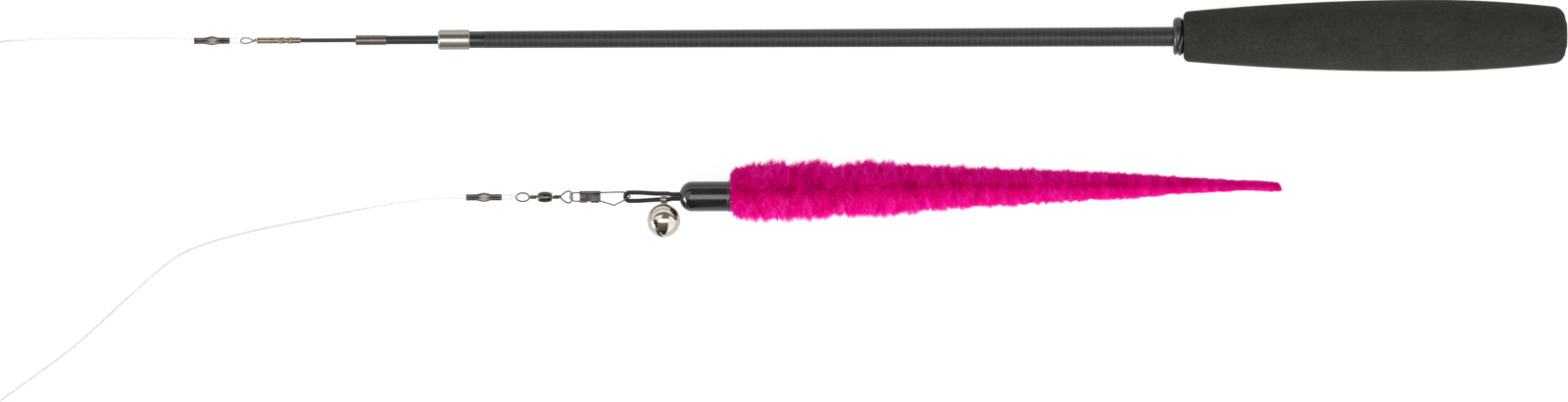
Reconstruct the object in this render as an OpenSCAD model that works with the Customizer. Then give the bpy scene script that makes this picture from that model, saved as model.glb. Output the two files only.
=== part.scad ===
// Cat teaser wand: a telescopic wand in three sections, a nylon line, a swivel with a safety snap,
// and a plush tail lure with a small bell. Sizes are in millimetres.
// The wand lies along X with its butt at +X. It rests on its grip, and the lure lies beside it on z = 0.

/* [Grip] */
// Length of the foam grip
grip_len = 109.5; // [90:0.5:140]
// Thickest diameter of the grip
grip_d = 20.5; // [18:0.1:26]
// Diameter of the grip at its front edge
grip_front_d = 14.2; // [10:0.1:17]
// Diameter of the grip where the rounding of its butt starts
grip_butt_d = 16.4; // [12:0.1:17]
// Diameter of the flat middle of the butt
butt_flat_d = 7; // [4:0.1:7.6]
// How far the butt's middle stands proud of its rounded corner
butt_dome = 0.4; // [0:0.1:1]
// Radius of the butt's corner
butt_round = 3.8; // [1:0.1:4]
// Radius of the grip's front corner
front_round = 1.6; // [0.5:0.1:2.5]
// Foam left behind the tube at the butt
butt_wall = 6; // [4.5:0.1:12]
// Outer diameter of the rubber ring before the grip
ring_d = 11.1; // [8:0.1:13]
// Width of the rubber ring
ring_w = 3; // [1:0.1:6]

/* [Outer tube] */
// Diameter of the outer tube inside the grip
tube_rear_d = 5.65; // [5.2:0.05:7]
// Diameter of the outer tube at its ferrule
tube_front_d = 4.9; // [4.6:0.05:5.1]
// Bore of the outer tube
tube_bore_d = 3.9; // [3.4:0.05:4.1]
// Length of outer tube that shows between the ring and the ferrule
tube_show = 200.8; // [150:0.1:260]
// Outer diameter of the outer ferrule
ferrule_d = 5.8; // [5.4:0.05:7]
// Length of the outer ferrule
ferrule_len = 9; // [5:0.1:14]
// Thickness of the ferrules' front lips
ferrule_lip = 1.5; // [0.8:0.1:2]
// Length of the plug inside the tube's rear end
plug_len = 8; // [5:0.1:14]
// Thickness of the plug's flange
plug_flange = 1; // [0.6:0.1:2]

/* [Middle section] */
// Outer diameter of the middle tube
middle_d = 2.5; // [2.3:0.05:3]
// Bore of the middle tube
middle_bore_d = 1.7; // [1.5:0.05:2]
// Length of middle tube that shows when the wand is closed
middle_show = 14.8; // [5:0.1:25]
// Outer diameter of the middle ferrule
middle_ferrule_d = 2.9; // [2.8:0.05:3.6]
// Length of the middle ferrule
middle_ferrule_len = 8.7; // [4:0.1:14]
// Length of the collar on the middle tube's rear end
middle_collar_len = 8; // [4:0.1:14]

/* [Tip section] */
// Diameter of the solid tip rod
tip_d = 1.2; // [1:0.05:1.4]
// Length of tip rod that shows when the wand is closed
tip_show = 15.7; // [5:0.1:25]
// Length of the collar on the tip rod's rear end
tip_collar_len = 6; // [3:0.1:12]
// Outer diameter of the metal sleeve on the tip
sleeve_d = 1.75; // [1.6:0.05:2.2]
// Length of the tip sleeve
sleeve_len = 12.6; // [8:0.1:18]
// Depth of the rod's seat in the tip sleeve
sleeve_seat = 9; // [5:0.1:10]
// Thickness of the sleeve's nose
nose_wall = 0.7; // [0.4:0.05:1]
// Length of the wire eye at the tip
tip_eye_len = 3.6; // [2.8:0.1:5]
// Width of the wire eye at the tip
tip_eye_w = 2.9; // [2.6:0.1:4]
// Length of twisted wire behind the tip's eye
tip_twist_len = 1.1; // [0.8:0.1:2]

/* [Line] */
// Diameter of the nylon line
line_d = 0.6; // [0.5:0.05:0.7]
// Length of each crimp sleeve
crimp_len = 10.2; // [7:0.1:14]
// Wall of a crimp sleeve round its bores
crimp_wall = 0.2; // [0.15:0.01:0.3]
// Width of a crimp sleeve where it is pressed
crimp_press_w = 2.6; // [2:0.1:3.2]
// Length of the pressed middle of a crimp sleeve
crimp_press_len = 4.6; // [3:0.1:6]
// Thickness of the pressed middle of a crimp sleeve
crimp_press_t = 0.96; // [0.95:0.01:1.06]
// Gap between the first crimp and the tip's eye
tip_loop_show = 2.9; // [2:0.1:6]
// Gap between the second crimp and the swivel's eye
lure_loop_show = 3.9; // [2:0.1:6]

/* [Swivel] */
// Diameter of the swivel's barrel
barrel_d = 3.1; // [2.8:0.1:4]
// Length of the swivel's barrel
barrel_len = 4.2; // [3.8:0.1:6]
// Wall at each end of the barrel
barrel_wall = 0.6; // [0.4:0.05:0.8]
// Diameter of the swivel's wire
eye_wire_d = 0.45; // [0.35:0.05:0.5]
// Length of twisted wire at each end of the swivel
twist_len = 2.3; // [1.2:0.1:3]
// Length of the swivel's eye on the line side
line_eye_len = 4; // [3:0.1:5]
// Width of the swivel's eye on the line side
line_eye_w = 2.9; // [2.6:0.1:4]
// Length of the swivel's eye on the snap side
snap_eye_len = 3.6; // [3:0.1:5]
// Width of the swivel's eye on the snap side
snap_eye_w = 3.7; // [3.2:0.1:4.4]

/* [Snap] */
// Diameter of the snap's wire
snap_wire_d = 0.4; // [0.3:0.05:0.45]
// Length of the snap between the middles of its wire bends
snap_len = 17; // [14:0.1:22]
// Distance between the middles of the snap's two legs
snap_w = 2.8; // [2.4:0.1:3.4]
// Length of the sheet-metal clasp
clasp_len = 6; // [5:0.1:7]
// Thickness of the clasp's sheet
clasp_t = 0.25; // [0.2:0.01:0.35]
// How far the arm's knee stands out past the leg
knee_out = 1; // [0.4:0.1:1.4]

/* [Lure] */
// Diameter of the elastic cord
elastic_d = 1.3; // [1:0.05:1.5]
// Distance from the cap to the far end of the elastic loop
elastic_reach = 15.4; // [13:0.1:24]
// Distance between the middles of the elastic's two strands
elastic_w = 2.4; // [2.2:0.1:3]
// Diameter of the lure's cap
cap_d = 8.6; // [8:0.1:10]
// Length of the lure's cap
cap_len = 14.7; // [13.5:0.1:20]
// Wall of the lure's cap
cap_wall = 1; // [0.8:0.1:1.2]
// Length of the cap's rounded nose
cap_nose = 3.7; // [2.5:0.1:5]
// Length of the plush tail behind the cap
tail_len = 158; // [100:1:220]
// Greatest width of the plush tail
tail_d = 17.4; // [14:0.1:22]
// Diameter of the core inside the plush tail
core_d = 3; // [2:0.1:4]
// Length of core that reaches into the plush tail
core_reach = 24; // [10:0.5:40]

/* [Bell] */
// Outer diameter of the bell
bell_d = 9.6; // [8.6:0.1:12]
// Wall of the bell
bell_wall = 0.35; // [0.25:0.05:0.5]
// Width of the bell's slot
bell_slot_w = 0.8; // [0.5:0.1:1.2]
// Diameter of the holes at the ends of the slot
bell_hole_d = 1.6; // [1.2:0.1:2.2]
// Diameter of the pea inside the bell
pea_d = 2.6; // [2:0.1:3]
// Width of the bell's strap along the elastic
strap_w = 1.7; // [1.4:0.1:2.6]
// Thickness of the bell's strap
strap_t = 0.25; // [0.15:0.05:0.4]
// Distance from the far end of the elastic loop to the bell's strap
bell_back = 11.5; // [9:0.1:11.6]
// Length of strap that shows between the elastic and the bell
strap_show = 0.3; // [0:0.05:1]

/* [Layout] */
// Distance between the wand's axis and the lure's axis
lay_gap = 45; // [30:1:90]
// Distance along the wand from its butt to the rear rim of the lure's cap
lay_back = 239; // [190:1:260]
// Height of the cap's axis above the floor
cap_z = 5.2; // [5.1:0.1:6]

/* [Hidden] */
$fn = 48;

// Clearances
slide_gap = 0.05;   // radial, between sections that slide
seat_gap = 0.02;    // radial, between pieces that are glued or pressed together
turn_gap = 0.06;    // round a wire that turns in a hole, and beside its head
link_gap = 0.1;     // between two wires or cords that are linked
swing_gap = 0.2;    // between the swivel's eye and the snap's loop, so that the snap can swing
floor_gap = 0.1;    // under the small pieces beside the wand
stop_gap = 0.2;     // left at the end of each slide
cut = 1;            // overrun of a cut past the face that it opens

// Grip
grip_r = grip_d / 2;
thick_share = 0.375;    // where along the grip, from the butt, it is thickest
curve_steps = 14;
thick_s = grip_len * thick_share;
butt_body_s = butt_dome + butt_round;

// Places along the wand, each measured from the butt's face
tube_rear_s = butt_wall;
ring_s = grip_len;
tube_show_s = ring_s + ring_w;
ferrule_s = tube_show_s + tube_show;
ferrule_front_s = ferrule_s + ferrule_len;
tube_front_s = ferrule_front_s - ferrule_lip - seat_gap;
middle_ferrule_s = ferrule_front_s + middle_show;
middle_ferrule_front_s = middle_ferrule_s + middle_ferrule_len;
middle_front_s = middle_ferrule_front_s - ferrule_lip - seat_gap;
sleeve_s = middle_ferrule_front_s + tip_show;
nose_s = sleeve_s + sleeve_len;
closed_len = nose_s + turn_gap + tip_twist_len + tip_eye_len;

// Rear ends of the inner sections: each meets its stop just after the ferrules have met
end_spare = 1.5;
middle_rear_s = tube_rear_s + plug_len + middle_show + end_spare;
tip_rear_s = middle_rear_s + tip_show + end_spare;
middle_collar_d = tube_bore_d - 2 * slide_gap;
tip_collar_d = middle_bore_d - 2 * slide_gap;
middle_out = ferrule_front_s - ferrule_lip - middle_rear_s - middle_collar_len - stop_gap;
middle_in = middle_show - stop_gap;
tip_out = middle_ferrule_front_s - ferrule_lip - tip_rear_s - tip_collar_len - stop_gap;
tip_in = tip_show - stop_gap;

// The eyes' wire
wire_bore_d = eye_wire_d + 2 * turn_gap;
head_t = 0.45;
barrel_head_d = 1.4;
tip_head_d = 1;
wrap_turns_per_mm = 1 / eye_wire_d;
eye_rings = 22;
wire_sides = 8;

// Heights on the lure's side
lure_z = floor_gap / 2 + barrel_d / 2;
elastic_z = floor_gap + snap_wire_d + link_gap + elastic_d / 2;
under_z = elastic_z - elastic_d / 2 - link_gap - snap_wire_d / 2;
elastic_turn_r = elastic_w / 2;
elastic_pitch = atan2(cap_z - elastic_z, elastic_reach);
elastic_slant = elastic_reach / cos(elastic_pitch);
over_z = elastic_z + elastic_d / 2 + link_gap + snap_wire_d / 2 + elastic_turn_r * sin(elastic_pitch);

// Bell, hung from the elastic's lower strand
strap_in_r = elastic_d / 2 + turn_gap;
strap_out_r = strap_in_r + strap_t;
strap_v = elastic_d / 2 + (turn_gap + strap_t + link_gap) / 2;
bell_r = bell_d / 2;
bell_drop = strap_out_r + strap_show + bell_r;
strand_z = elastic_z + bell_back * sin(elastic_pitch);
bell_lift = asin((bell_r - strand_z) / (bell_drop * cos(elastic_pitch)));

// Where the wand and the lure lie
bell_side = strap_v + bell_drop * cos(bell_lift) + bell_r;
tail_side = tail_d / 2;
half_width = (grip_r + lay_gap + max(bell_side, tail_side)) / 2;
butt_x = closed_len / 2;
wand_y = half_width - grip_r;
wand_z = grip_r;
lure_y = wand_y - lay_gap;
tip_x = butt_x - nose_s;
eye_tip_x = butt_x - closed_len;

// Places along the lure, from the cap towards the line
cap_x = butt_x - lay_back;
cap_front_x = cap_x - cap_len;
link_x = cap_front_x - elastic_reach;
bend_x = link_x + elastic_turn_r;
snap_x = bend_x - snap_len;
snap_eye_x = snap_x + (snap_wire_d + eye_wire_d) / 2 + swing_gap;
eye_bend_in = eye_wire_d / 2;
barrel_right_x = snap_eye_x + eye_bend_in - snap_eye_len - twist_len - turn_gap;
barrel_x = barrel_right_x - barrel_len / 2;
line_eye_x = barrel_x - barrel_len / 2 - turn_gap - twist_len - line_eye_len;
tip_crimp_x = eye_tip_x - tip_loop_show;
lure_crimp_x = line_eye_x - lure_loop_show;
strand_x = link_x + bell_back * cos(elastic_pitch);

// Tilts of the linked wires about the lure's own axis, so that they pass over and under each other
snap_tilt = 30;
snap_eye_tilt = 20;
line_eye_tilt = 8;
line_loop_tilt = 72;
tip_eye_tilt = 50;
tip_loop_tilt = 32;

// The unseen line lies in a coil of four layers beside the wand's tip
coil_layers = 4;
layer_turns = 4;
coil_rings = 24;
coil_sides = 6;
coil_pitch = line_d + 0.44;
coil_outer_r = 6.7;
coil_inner_r = coil_outer_r - layer_turns * coil_pitch;
coil_centre = [-285, -26];
tie_t = 0.5;
tie_w = 2;
tie_gap = 0.15;
coil_z = tie_t + tie_gap + line_d / 2;
coil_top_z = coil_z + (coil_layers - 1) * coil_pitch;
line_sides = 8;
line_steps = 2;

// Crimp sleeves
bore_gap = 0.03;
crimp_bore_r = line_d / 2 + bore_gap;
crimp_r = crimp_bore_r + crimp_wall;
crimp_bore_y = crimp_bore_r + crimp_wall / 4;

// The route of the line, from the first crimp to the coil
upper_route = [
    [tip_crimp_x - crimp_len - turn_gap, wand_y + crimp_bore_y, wand_z],
    [tip_crimp_x - crimp_len - turn_gap - line_d, wand_y + crimp_bore_y, wand_z],
    [-208, 23.9, 9.9], [-215, 24, 8.6], [-224, 24, 6.1], [-232.5, 24.1, 3.7], [-241, 24.1, 1.7],
    [-247, 24, 0.8], [-252.5, 23.7, 0.4], [-258, 23.3, 0.3], [-266, 21.2, 0.3], [-272.5, 16, 0.3],
    [-276.5, 8, 0.3], [-278.2, -2, 0.9], [-278.4, -11, 2.7], [-278.3, -19, 4],
    [coil_centre.x + coil_outer_r, coil_centre.y + 2 * line_d, coil_top_z],
    [coil_centre.x + coil_outer_r, coil_centre.y + line_d, coil_top_z]];
// The route of the line, from the coil to the second crimp
lower_route = [
    [coil_centre.x + coil_outer_r, coil_centre.y - line_d, coil_z],
    [coil_centre.x + coil_outer_r, coil_centre.y - 2 * line_d, coil_z],
    [-278.4, -38, 0.3], [-279, -53, 0.3], [-279.3, -68, 0.3], [-277, -79, 0.3],
    [-271, -85.3, 0.3], [-264, -83.4, 0.3], [-258.4, -79.1, 0.3], [-247.2, -71.1, 0.3],
    [-236, -62.6, 0.3], [-222.6, -50.5, 0.3], [-210, -39.7, 0.3], [-201, -35.2, 0.3],
    [-187, -31.3, 0.3], [-169, -27.7, 0.3], [-151, -24.3, 0.4], [-140, -22.6, 0.8],
    [-131, -22, 1.4],
    [lure_crimp_x - crimp_len - turn_gap - line_d, lure_y - crimp_bore_y, lure_z],
    [lure_crimp_x - crimp_len - turn_gap, lure_y - crimp_bore_y, lure_z]];

// Plush tail: shares of the tail's length, of its width, and of its width again for the sideways sway
tail_shares = [[0, 0.47, 0.04], [0.006, 0.66, 0.06], [0.016, 0.85, 0.07], [0.05, 0.985, 0.075],
    [0.09, 1, 0.078], [0.12, 0.95, 0.08], [0.155, 0.99, 0.1], [0.197, 0.86, 0.085],
    [0.24, 0.94, 0.115], [0.288, 0.89, 0.105], [0.34, 0.81, 0.117], [0.39, 0.735, 0.13],
    [0.44, 0.68, 0.13], [0.5, 0.64, 0.13], [0.56, 0.58, 0.14], [0.65, 0.49, 0.143],
    [0.71, 0.44, 0.14], [0.765, 0.36, 0.144], [0.82, 0.285, 0.15], [0.88, 0.225, 0.14],
    [0.935, 0.17, 0.14], [0.985, 0.17, 0.12], [1, 0.12, 0.12]];
tail_low_share = 0.3;   // height of the tail's middle line, as a share of its width there
tail_sides = 24;
tail_steps = 2;

foam = "#383735";
rubber = "#1d1d1d";
fibreglass = "#3b3d40";
nickel = "#a7a299";
warm_nickel = "#958a76";
black_nickel = "#6d6661";
nylon = "#e4e7e8";
black_cord = "#262625";
black_plastic = "#242526";
pink = "#d10070";

// Route helpers
function unit(v) = v / norm(v);
function square_to(v, t) = unit(v - (v * t) * t);
function heading(p, i) = unit(p[min(i + 1, len(p) - 1)] - p[max(i - 1, 0)]);
function carried(p, up) = [for (i = 0, u = square_to(up, heading(p, 0)); i < len(p);
    i = i + 1, u = i < len(p) ? square_to(u, heading(p, i)) : u) u];
function bend(a, b, c, d, t) = (2 * b + (c - a) * t + (2 * a - 5 * b + 4 * c - d) * t * t
    + (3 * b - a - 3 * c + d) * t * t * t) / 2;
function smooth(p, steps) = concat([for (i = [0 : len(p) - 2]) for (k = [0 : steps - 1])
    bend(p[max(i - 1, 0)], p[i], p[i + 1], p[min(i + 2, len(p) - 1)], k / steps)], [p[len(p) - 1]]);
function laid(p, steps) = concat([p[0]], smooth([for (i = [1 : len(p) - 2]) p[i]], steps), [p[len(p) - 1]]);
function resting(p, r) = [for (q = p) [q.x, q.y, max(q.z, r)]];
function route_len(p, i = 0) = i >= len(p) - 1 ? 0 : norm(p[i + 1] - p[i]) + route_len(p, i + 1);
function rolled(x, v, tilt) = [x, v * cos(tilt), v * sin(tilt)];

// Skins a list of rings, each a list of points that run anticlockwise seen from ahead
module skin(rings) {
    n = len(rings[0]);
    last = len(rings) - 1;
    points = [for (ring = rings) for (q = ring) q];
    walls = [for (i = [0 : last - 1]) for (k = [0 : n - 1])
        let (a = i * n + k, b = i * n + (k + 1) % n, c = b + n, d = a + n) each [[a, d, c], [a, c, b]]];
    back = [for (k = [1 : n - 2]) [0, k, k + 1]];
    front = [for (k = [1 : n - 2]) [last * n, last * n + k + 1, last * n + k]];
    polyhedron(points = points, faces = concat(walls, back, front), convexity = 6);
}

// A round wire or cord along a list of points
module wire(p, d, sides = wire_sides, up = [0, 0, 1]) {
    us = carried(p, up);
    skin([for (i = [0 : len(p) - 1]) let (t = heading(p, i), u = us[i], v = cross(t, u))
        [for (k = [0 : sides - 1]) p[i] + (u * cos(360 * k / sides) + v * sin(360 * k / sides)) * d / 2]]);
}

// Moves a piece drawn along +Z to its place on the wand, pointing from the butt to the tip
module on_wand(s) {
    translate([butt_x - s, wand_y, wand_z]) rotate([0, -90, 0]) children();
}

// A straight round tube, from z = 0
module tube(od, id, h) {
    difference() {
        cylinder(d = od, h = h);
        translate([0, 0, -cut]) cylinder(d = id, h = h + 2 * cut);
    }
}

// Half-profile of the grip, from the butt to the front
function grip_rear_r(s) = grip_r - (grip_d - grip_butt_d) / 2 * pow((thick_s - s) / (thick_s - butt_body_s), 2);
function grip_fore_r(s) = grip_r - (grip_d - grip_front_d) / 2 * pow((s - thick_s) / (grip_len - thick_s), 2);
function grip_profile() = concat(
    [[0, 0], [butt_flat_d / 2, 0]],
    [for (a = [0 : 15 : 90]) [grip_butt_d / 2 - butt_round + butt_round * sin(a),
        butt_body_s - butt_round * cos(a)]],
    [for (k = [1 : curve_steps]) let (s = butt_body_s + (thick_s - butt_body_s) * k / curve_steps)
        [grip_rear_r(s), s]],
    [for (k = [1 : curve_steps]) let (s = thick_s + (grip_len - front_round - thick_s) * k / curve_steps)
        [grip_fore_r(s), s]],
    [for (a = [15 : 15 : 90]) [grip_fore_r(grip_len - front_round) - front_round * (1 - cos(a)),
        grip_len - front_round + front_round * sin(a)]],
    [[0, grip_len]]);

module grip() color(foam) on_wand(0) difference() {
    rotate_extrude($fn = 96) polygon(grip_profile());
    translate([0, 0, tube_rear_s]) cylinder(d = tube_rear_d + 2 * seat_gap, h = grip_len);
    translate([0, 0, tube_rear_s - plug_flange - seat_gap])
        cylinder(d = tube_rear_d + 2 * seat_gap, h = plug_flange + 2 * seat_gap);
}

// The rubber ring has a full round outside
module grip_ring() color(rubber) on_wand(ring_s) rotate_extrude($fn = 72) {
    edge = min(ring_w, (ring_d - tube_rear_d) / 2) / 2 - seat_gap;
    hub_r = tube_rear_d / 2 + seat_gap;
    translate([hub_r, seat_gap]) square([ring_d / 2 - edge - hub_r, ring_w - seat_gap]);
    translate([hub_r, seat_gap + edge]) square([ring_d / 2 - hub_r, ring_w - seat_gap - 2 * edge]);
    for (z = [seat_gap + edge, ring_w - edge]) translate([ring_d / 2 - edge, z]) circle(edge);
}

module tube_plug() color(black_plastic) on_wand(tube_rear_s) {
    cylinder(d = tube_bore_d - 2 * seat_gap, h = plug_len);
    translate([0, 0, -plug_flange]) cylinder(d = tube_rear_d - 2 * seat_gap, h = plug_flange - seat_gap);
    translate([0, 0, -seat_gap]) cylinder(d = tube_bore_d - 2 * seat_gap, h = seat_gap);
}

module outer_tube() color(fibreglass) on_wand(0) rotate_extrude($fn = 72) polygon([
    [tube_bore_d / 2, tube_rear_s], [tube_rear_d / 2, tube_rear_s], [tube_rear_d / 2, tube_show_s],
    [tube_front_d / 2, ferrule_s], [tube_front_d / 2, tube_front_s], [tube_bore_d / 2, tube_front_s]]);

// A ferrule: a sleeve over the tube's end, with a lip that guides the next section
module ferrule(od, seat_d, guide_d, length) {
    edge = (od - seat_d) / 4;
    rotate_extrude($fn = 72) polygon([
        [seat_d / 2 + seat_gap, 0], [od / 2 - edge, 0], [od / 2, edge],
        [od / 2, length - ferrule_lip / 3], [od / 2 - ferrule_lip / 3, length],
        [guide_d / 2 + slide_gap, length], [guide_d / 2 + slide_gap, length - ferrule_lip],
        [seat_d / 2 + seat_gap, length - ferrule_lip]]);
}

module outer_ferrule() color(nickel) on_wand(ferrule_s)
    ferrule(ferrule_d, tube_front_d, middle_d, ferrule_len);

module middle_tube() color(fibreglass) on_wand(middle_rear_s)
    tube(middle_d, middle_bore_d, middle_front_s - middle_rear_s);

module middle_ferrule() color(nickel) on_wand(middle_ferrule_s) difference() {
    cylinder(d = middle_ferrule_d, h = middle_ferrule_len);
    translate([0, 0, -cut])
        cylinder(d = middle_d + 2 * seat_gap, h = middle_ferrule_len - ferrule_lip + cut);
    cylinder(d = tip_d + 2 * slide_gap, h = middle_ferrule_len + cut);
}

module middle_collar() color(black_plastic) on_wand(middle_rear_s)
    tube(middle_collar_d, middle_d + 2 * seat_gap, middle_collar_len);

module tip_rod() color(fibreglass) on_wand(tip_rear_s)
    cylinder(d = tip_d, h = sleeve_s + sleeve_seat - tip_rear_s);

module tip_collar() color(black_plastic) on_wand(tip_rear_s)
    tube(tip_collar_d, tip_d + 2 * seat_gap, tip_collar_len);

module tip_sleeve() color(warm_nickel) on_wand(sleeve_s) difference() {
    cylinder(d = sleeve_d, h = sleeve_len);
    translate([0, 0, -cut]) cylinder(d = tip_d + 2 * seat_gap, h = sleeve_len - nose_wall + cut);
    cylinder(d = wire_bore_d, h = sleeve_len + cut);
}

// A wire eye whose twisted shank turns in a wall. x = 0 is the wall's outer face, and +X points out of it.
// waist narrows the eye beside the twist, so that it becomes a drop.
module turning_eye(wall, twist, eye_len, eye_w, head_d, waist, tilt) {
    long_r = (eye_len - eye_wire_d / 2) / 2;
    wide_r = (eye_w - eye_wire_d) / 2;
    root = turn_gap + twist;
    start = 9;
    loop = [for (k = [0 : eye_rings]) let (a = start + (360 - 2 * start) * k / eye_rings)
        rolled(root + long_r - long_r * cos(a), wide_r * sin(a) * (1 - waist * cos(a)), tilt)];
    turns = floor(twist * wrap_turns_per_mm - 0.5);
    helix_steps = turns * 12;
    helix = [for (k = [0 : helix_steps]) let (a = 360 * turns * k / helix_steps)
        [turn_gap + eye_wire_d / 2 + (twist - eye_wire_d) * k / helix_steps,
            eye_wire_d * 0.85 * cos(a), eye_wire_d * 0.85 * sin(a)]];
    wire(loop, eye_wire_d, 8, [1, 0, 0]);
    wire(helix, eye_wire_d, 6, [1, 0, 0]);
    rotate([0, 90, 0]) {
        translate([0, 0, -wall - turn_gap]) cylinder(d = eye_wire_d, h = wall + turn_gap + root + eye_wire_d / 2);
        translate([0, 0, -wall - turn_gap - head_t]) cylinder(d = head_d, h = head_t);
    }
}

module tip_eye() color(warm_nickel) translate([tip_x, wand_y, wand_z]) rotate([0, 0, 180])
    turning_eye(nose_wall, tip_twist_len, tip_eye_len, tip_eye_w, tip_head_d, 0.2, tip_eye_tilt);

// A double-bore sleeve, pressed flat and wide in its middle. x = 0 is its end beside the loop.
module crimp() {
    press_steps = 16;
    bulge = [for (k = [0 : press_steps]) let (t = k / press_steps)
        [crimp_press_len * (t - 1 / 2), crimp_r + (crimp_press_w / 2 - crimp_r) * pow(sin(180 * t), 2)]];
    difference() {
        union() {
            rotate([0, -90, 0]) linear_extrude(crimp_len) {
                for (y = [-crimp_bore_y, crimp_bore_y]) translate([0, y]) circle(crimp_r);
                square([2 * crimp_r, 2 * crimp_bore_y], center = true);
            }
            translate([-crimp_len / 2, 0, -crimp_press_t / 2]) linear_extrude(crimp_press_t)
                polygon(concat(bulge, [for (k = [press_steps : -1 : 0]) [bulge[k].x, -bulge[k].y]]));
        }
        for (y = [-crimp_bore_y, crimp_bore_y])
            translate([cut, y, 0]) rotate([0, -90, 0]) cylinder(r = crimp_bore_r, h = crimp_len + 2 * cut);
    }
}

// The loop of line that leaves a crimp, passes through an eye, and comes back.
// x = 0 is the crimp's end, reach is where the loop turns, and half is its half-width there.
function loop_side(reach, half, tilt, side) = [
    [-crimp_len / 2 + line_d, side * crimp_bore_y, 0], [-line_d, side * crimp_bore_y, 0],
    [line_d / 2, side * crimp_bore_y, 0],
    rolled((reach - half) / 2, side * (crimp_bore_y + half) / 2, tilt / 2),
    rolled(reach - half, side * half, tilt),
    rolled(reach - half * 0.3, side * half * 0.75, tilt)];
function loop_route(reach, half, tilt) = smooth(concat(loop_side(reach, half, tilt, 1),
    [[reach, 0, 0]], [for (k = [5 : -1 : 0]) loop_side(reach, half, tilt, -1)[k]]), 3);
tip_loop_reach = tip_loop_show + eye_wire_d + link_gap + line_d / 2;
lure_loop_reach = lure_loop_show + eye_wire_d + link_gap + line_d / 2;
tip_loop_half = 1.05;
lure_loop_half = 0.95;

module tip_line_loop() color(nylon) translate([tip_crimp_x, wand_y, wand_z])
    wire(loop_route(tip_loop_reach, tip_loop_half, tip_loop_tilt), line_d);

module tip_crimp() color(black_nickel) translate([tip_crimp_x, wand_y, wand_z]) crimp();

module lure_line_loop() color(nylon) translate([lure_crimp_x, lure_y, lure_z])
    wire(loop_route(lure_loop_reach, lure_loop_half, line_loop_tilt), line_d);

module lure_crimp() color(black_nickel) translate([lure_crimp_x, lure_y, lure_z]) crimp();

upper_line = resting(laid(upper_route, line_steps), line_d / 2);
lower_line = resting(laid(lower_route, line_steps), line_d / 2);

module line_upper() color(nylon) wire(upper_line, line_d, line_sides);

module line_lower() color(nylon) wire(lower_line, line_d, line_sides);

// The coil spirals in and out again, and climbs a layer in the half turn where the spiral reverses
coil_turns = coil_layers * layer_turns;
function coil_radius(t) = let (u = t % (2 * layer_turns))
    coil_outer_r - coil_pitch * (u < layer_turns ? u : 2 * layer_turns - u);
function coil_height(t) = let (n = round(t / layer_turns), off = t - n * layer_turns)
    coil_z + coil_pitch * (n <= 0 ? 0 : n >= coil_layers ? coil_layers - 1
        : n - 1 / 2 + min(max(off * 2, -1 / 2), 1 / 2));
function coil_point(t) = let (a = 360 * t)
    [coil_centre.x + coil_radius(t) * cos(a), coil_centre.y + coil_radius(t) * sin(a), coil_height(t)];
coil_steps = coil_turns * coil_rings;
wound = [for (k = [0 : coil_steps]) coil_point(k / coil_rings)];
coil_route = concat([lower_route[0]], wound, [upper_route[len(upper_route) - 1]]);

module line_coil() color(nylon) wire(coil_route, line_d, coil_sides);

// The tie is a band round one side of the coil
module line_tie() color(black_plastic) {
    inner = coil_inner_r - line_d / 2 - tie_gap - tie_w / 8;
    outer = coil_outer_r + line_d / 2 + tie_gap;
    high = coil_top_z + line_d / 2 + tie_gap;
    translate([coil_centre.x, coil_centre.y + tie_w / 2, 0]) rotate([90, 0, 0]) linear_extrude(tie_w) difference() {
        translate([-outer - tie_t, 0]) square([outer - inner + 2 * tie_t, high + tie_t]);
        translate([-outer, tie_t]) square([outer - inner, high - tie_t]);
    }
}

// The barrel of the swivel: an olive with a hollow inside and a hole at each end
module swivel_barrel() color(black_nickel) translate([barrel_x, lure_y, lure_z]) rotate([0, 90, 0]) {
    half = barrel_len / 2;
    end_r = barrel_d * 0.27;
    olive_steps = 16;
    olive = [for (k = [0 : olive_steps]) let (t = 2 * k / olive_steps - 1)
        [end_r + (barrel_d / 2 - end_r) * sqrt(1 - t * t), half * t]];
    difference() {
        rotate_extrude() polygon(concat([[0, -half]], olive, [[0, half]]));
        translate([0, 0, -half - cut]) cylinder(d = wire_bore_d, h = barrel_len + 2 * cut);
        translate([0, 0, -half + barrel_wall])
            cylinder(d = barrel_head_d + 2 * turn_gap, h = barrel_len - 2 * barrel_wall);
    }
}

module swivel_line_eye() color(black_nickel)
    translate([barrel_x - barrel_len / 2, lure_y, lure_z]) rotate([0, 0, 180])
    turning_eye(barrel_wall, twist_len, line_eye_len, line_eye_w, barrel_head_d, 0, line_eye_tilt);

module swivel_snap_eye() color(black_nickel)
    translate([barrel_right_x, lure_y, lure_z])
    turning_eye(barrel_wall, twist_len, snap_eye_len, snap_eye_w, barrel_head_d, 0.5, snap_eye_tilt);

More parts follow.
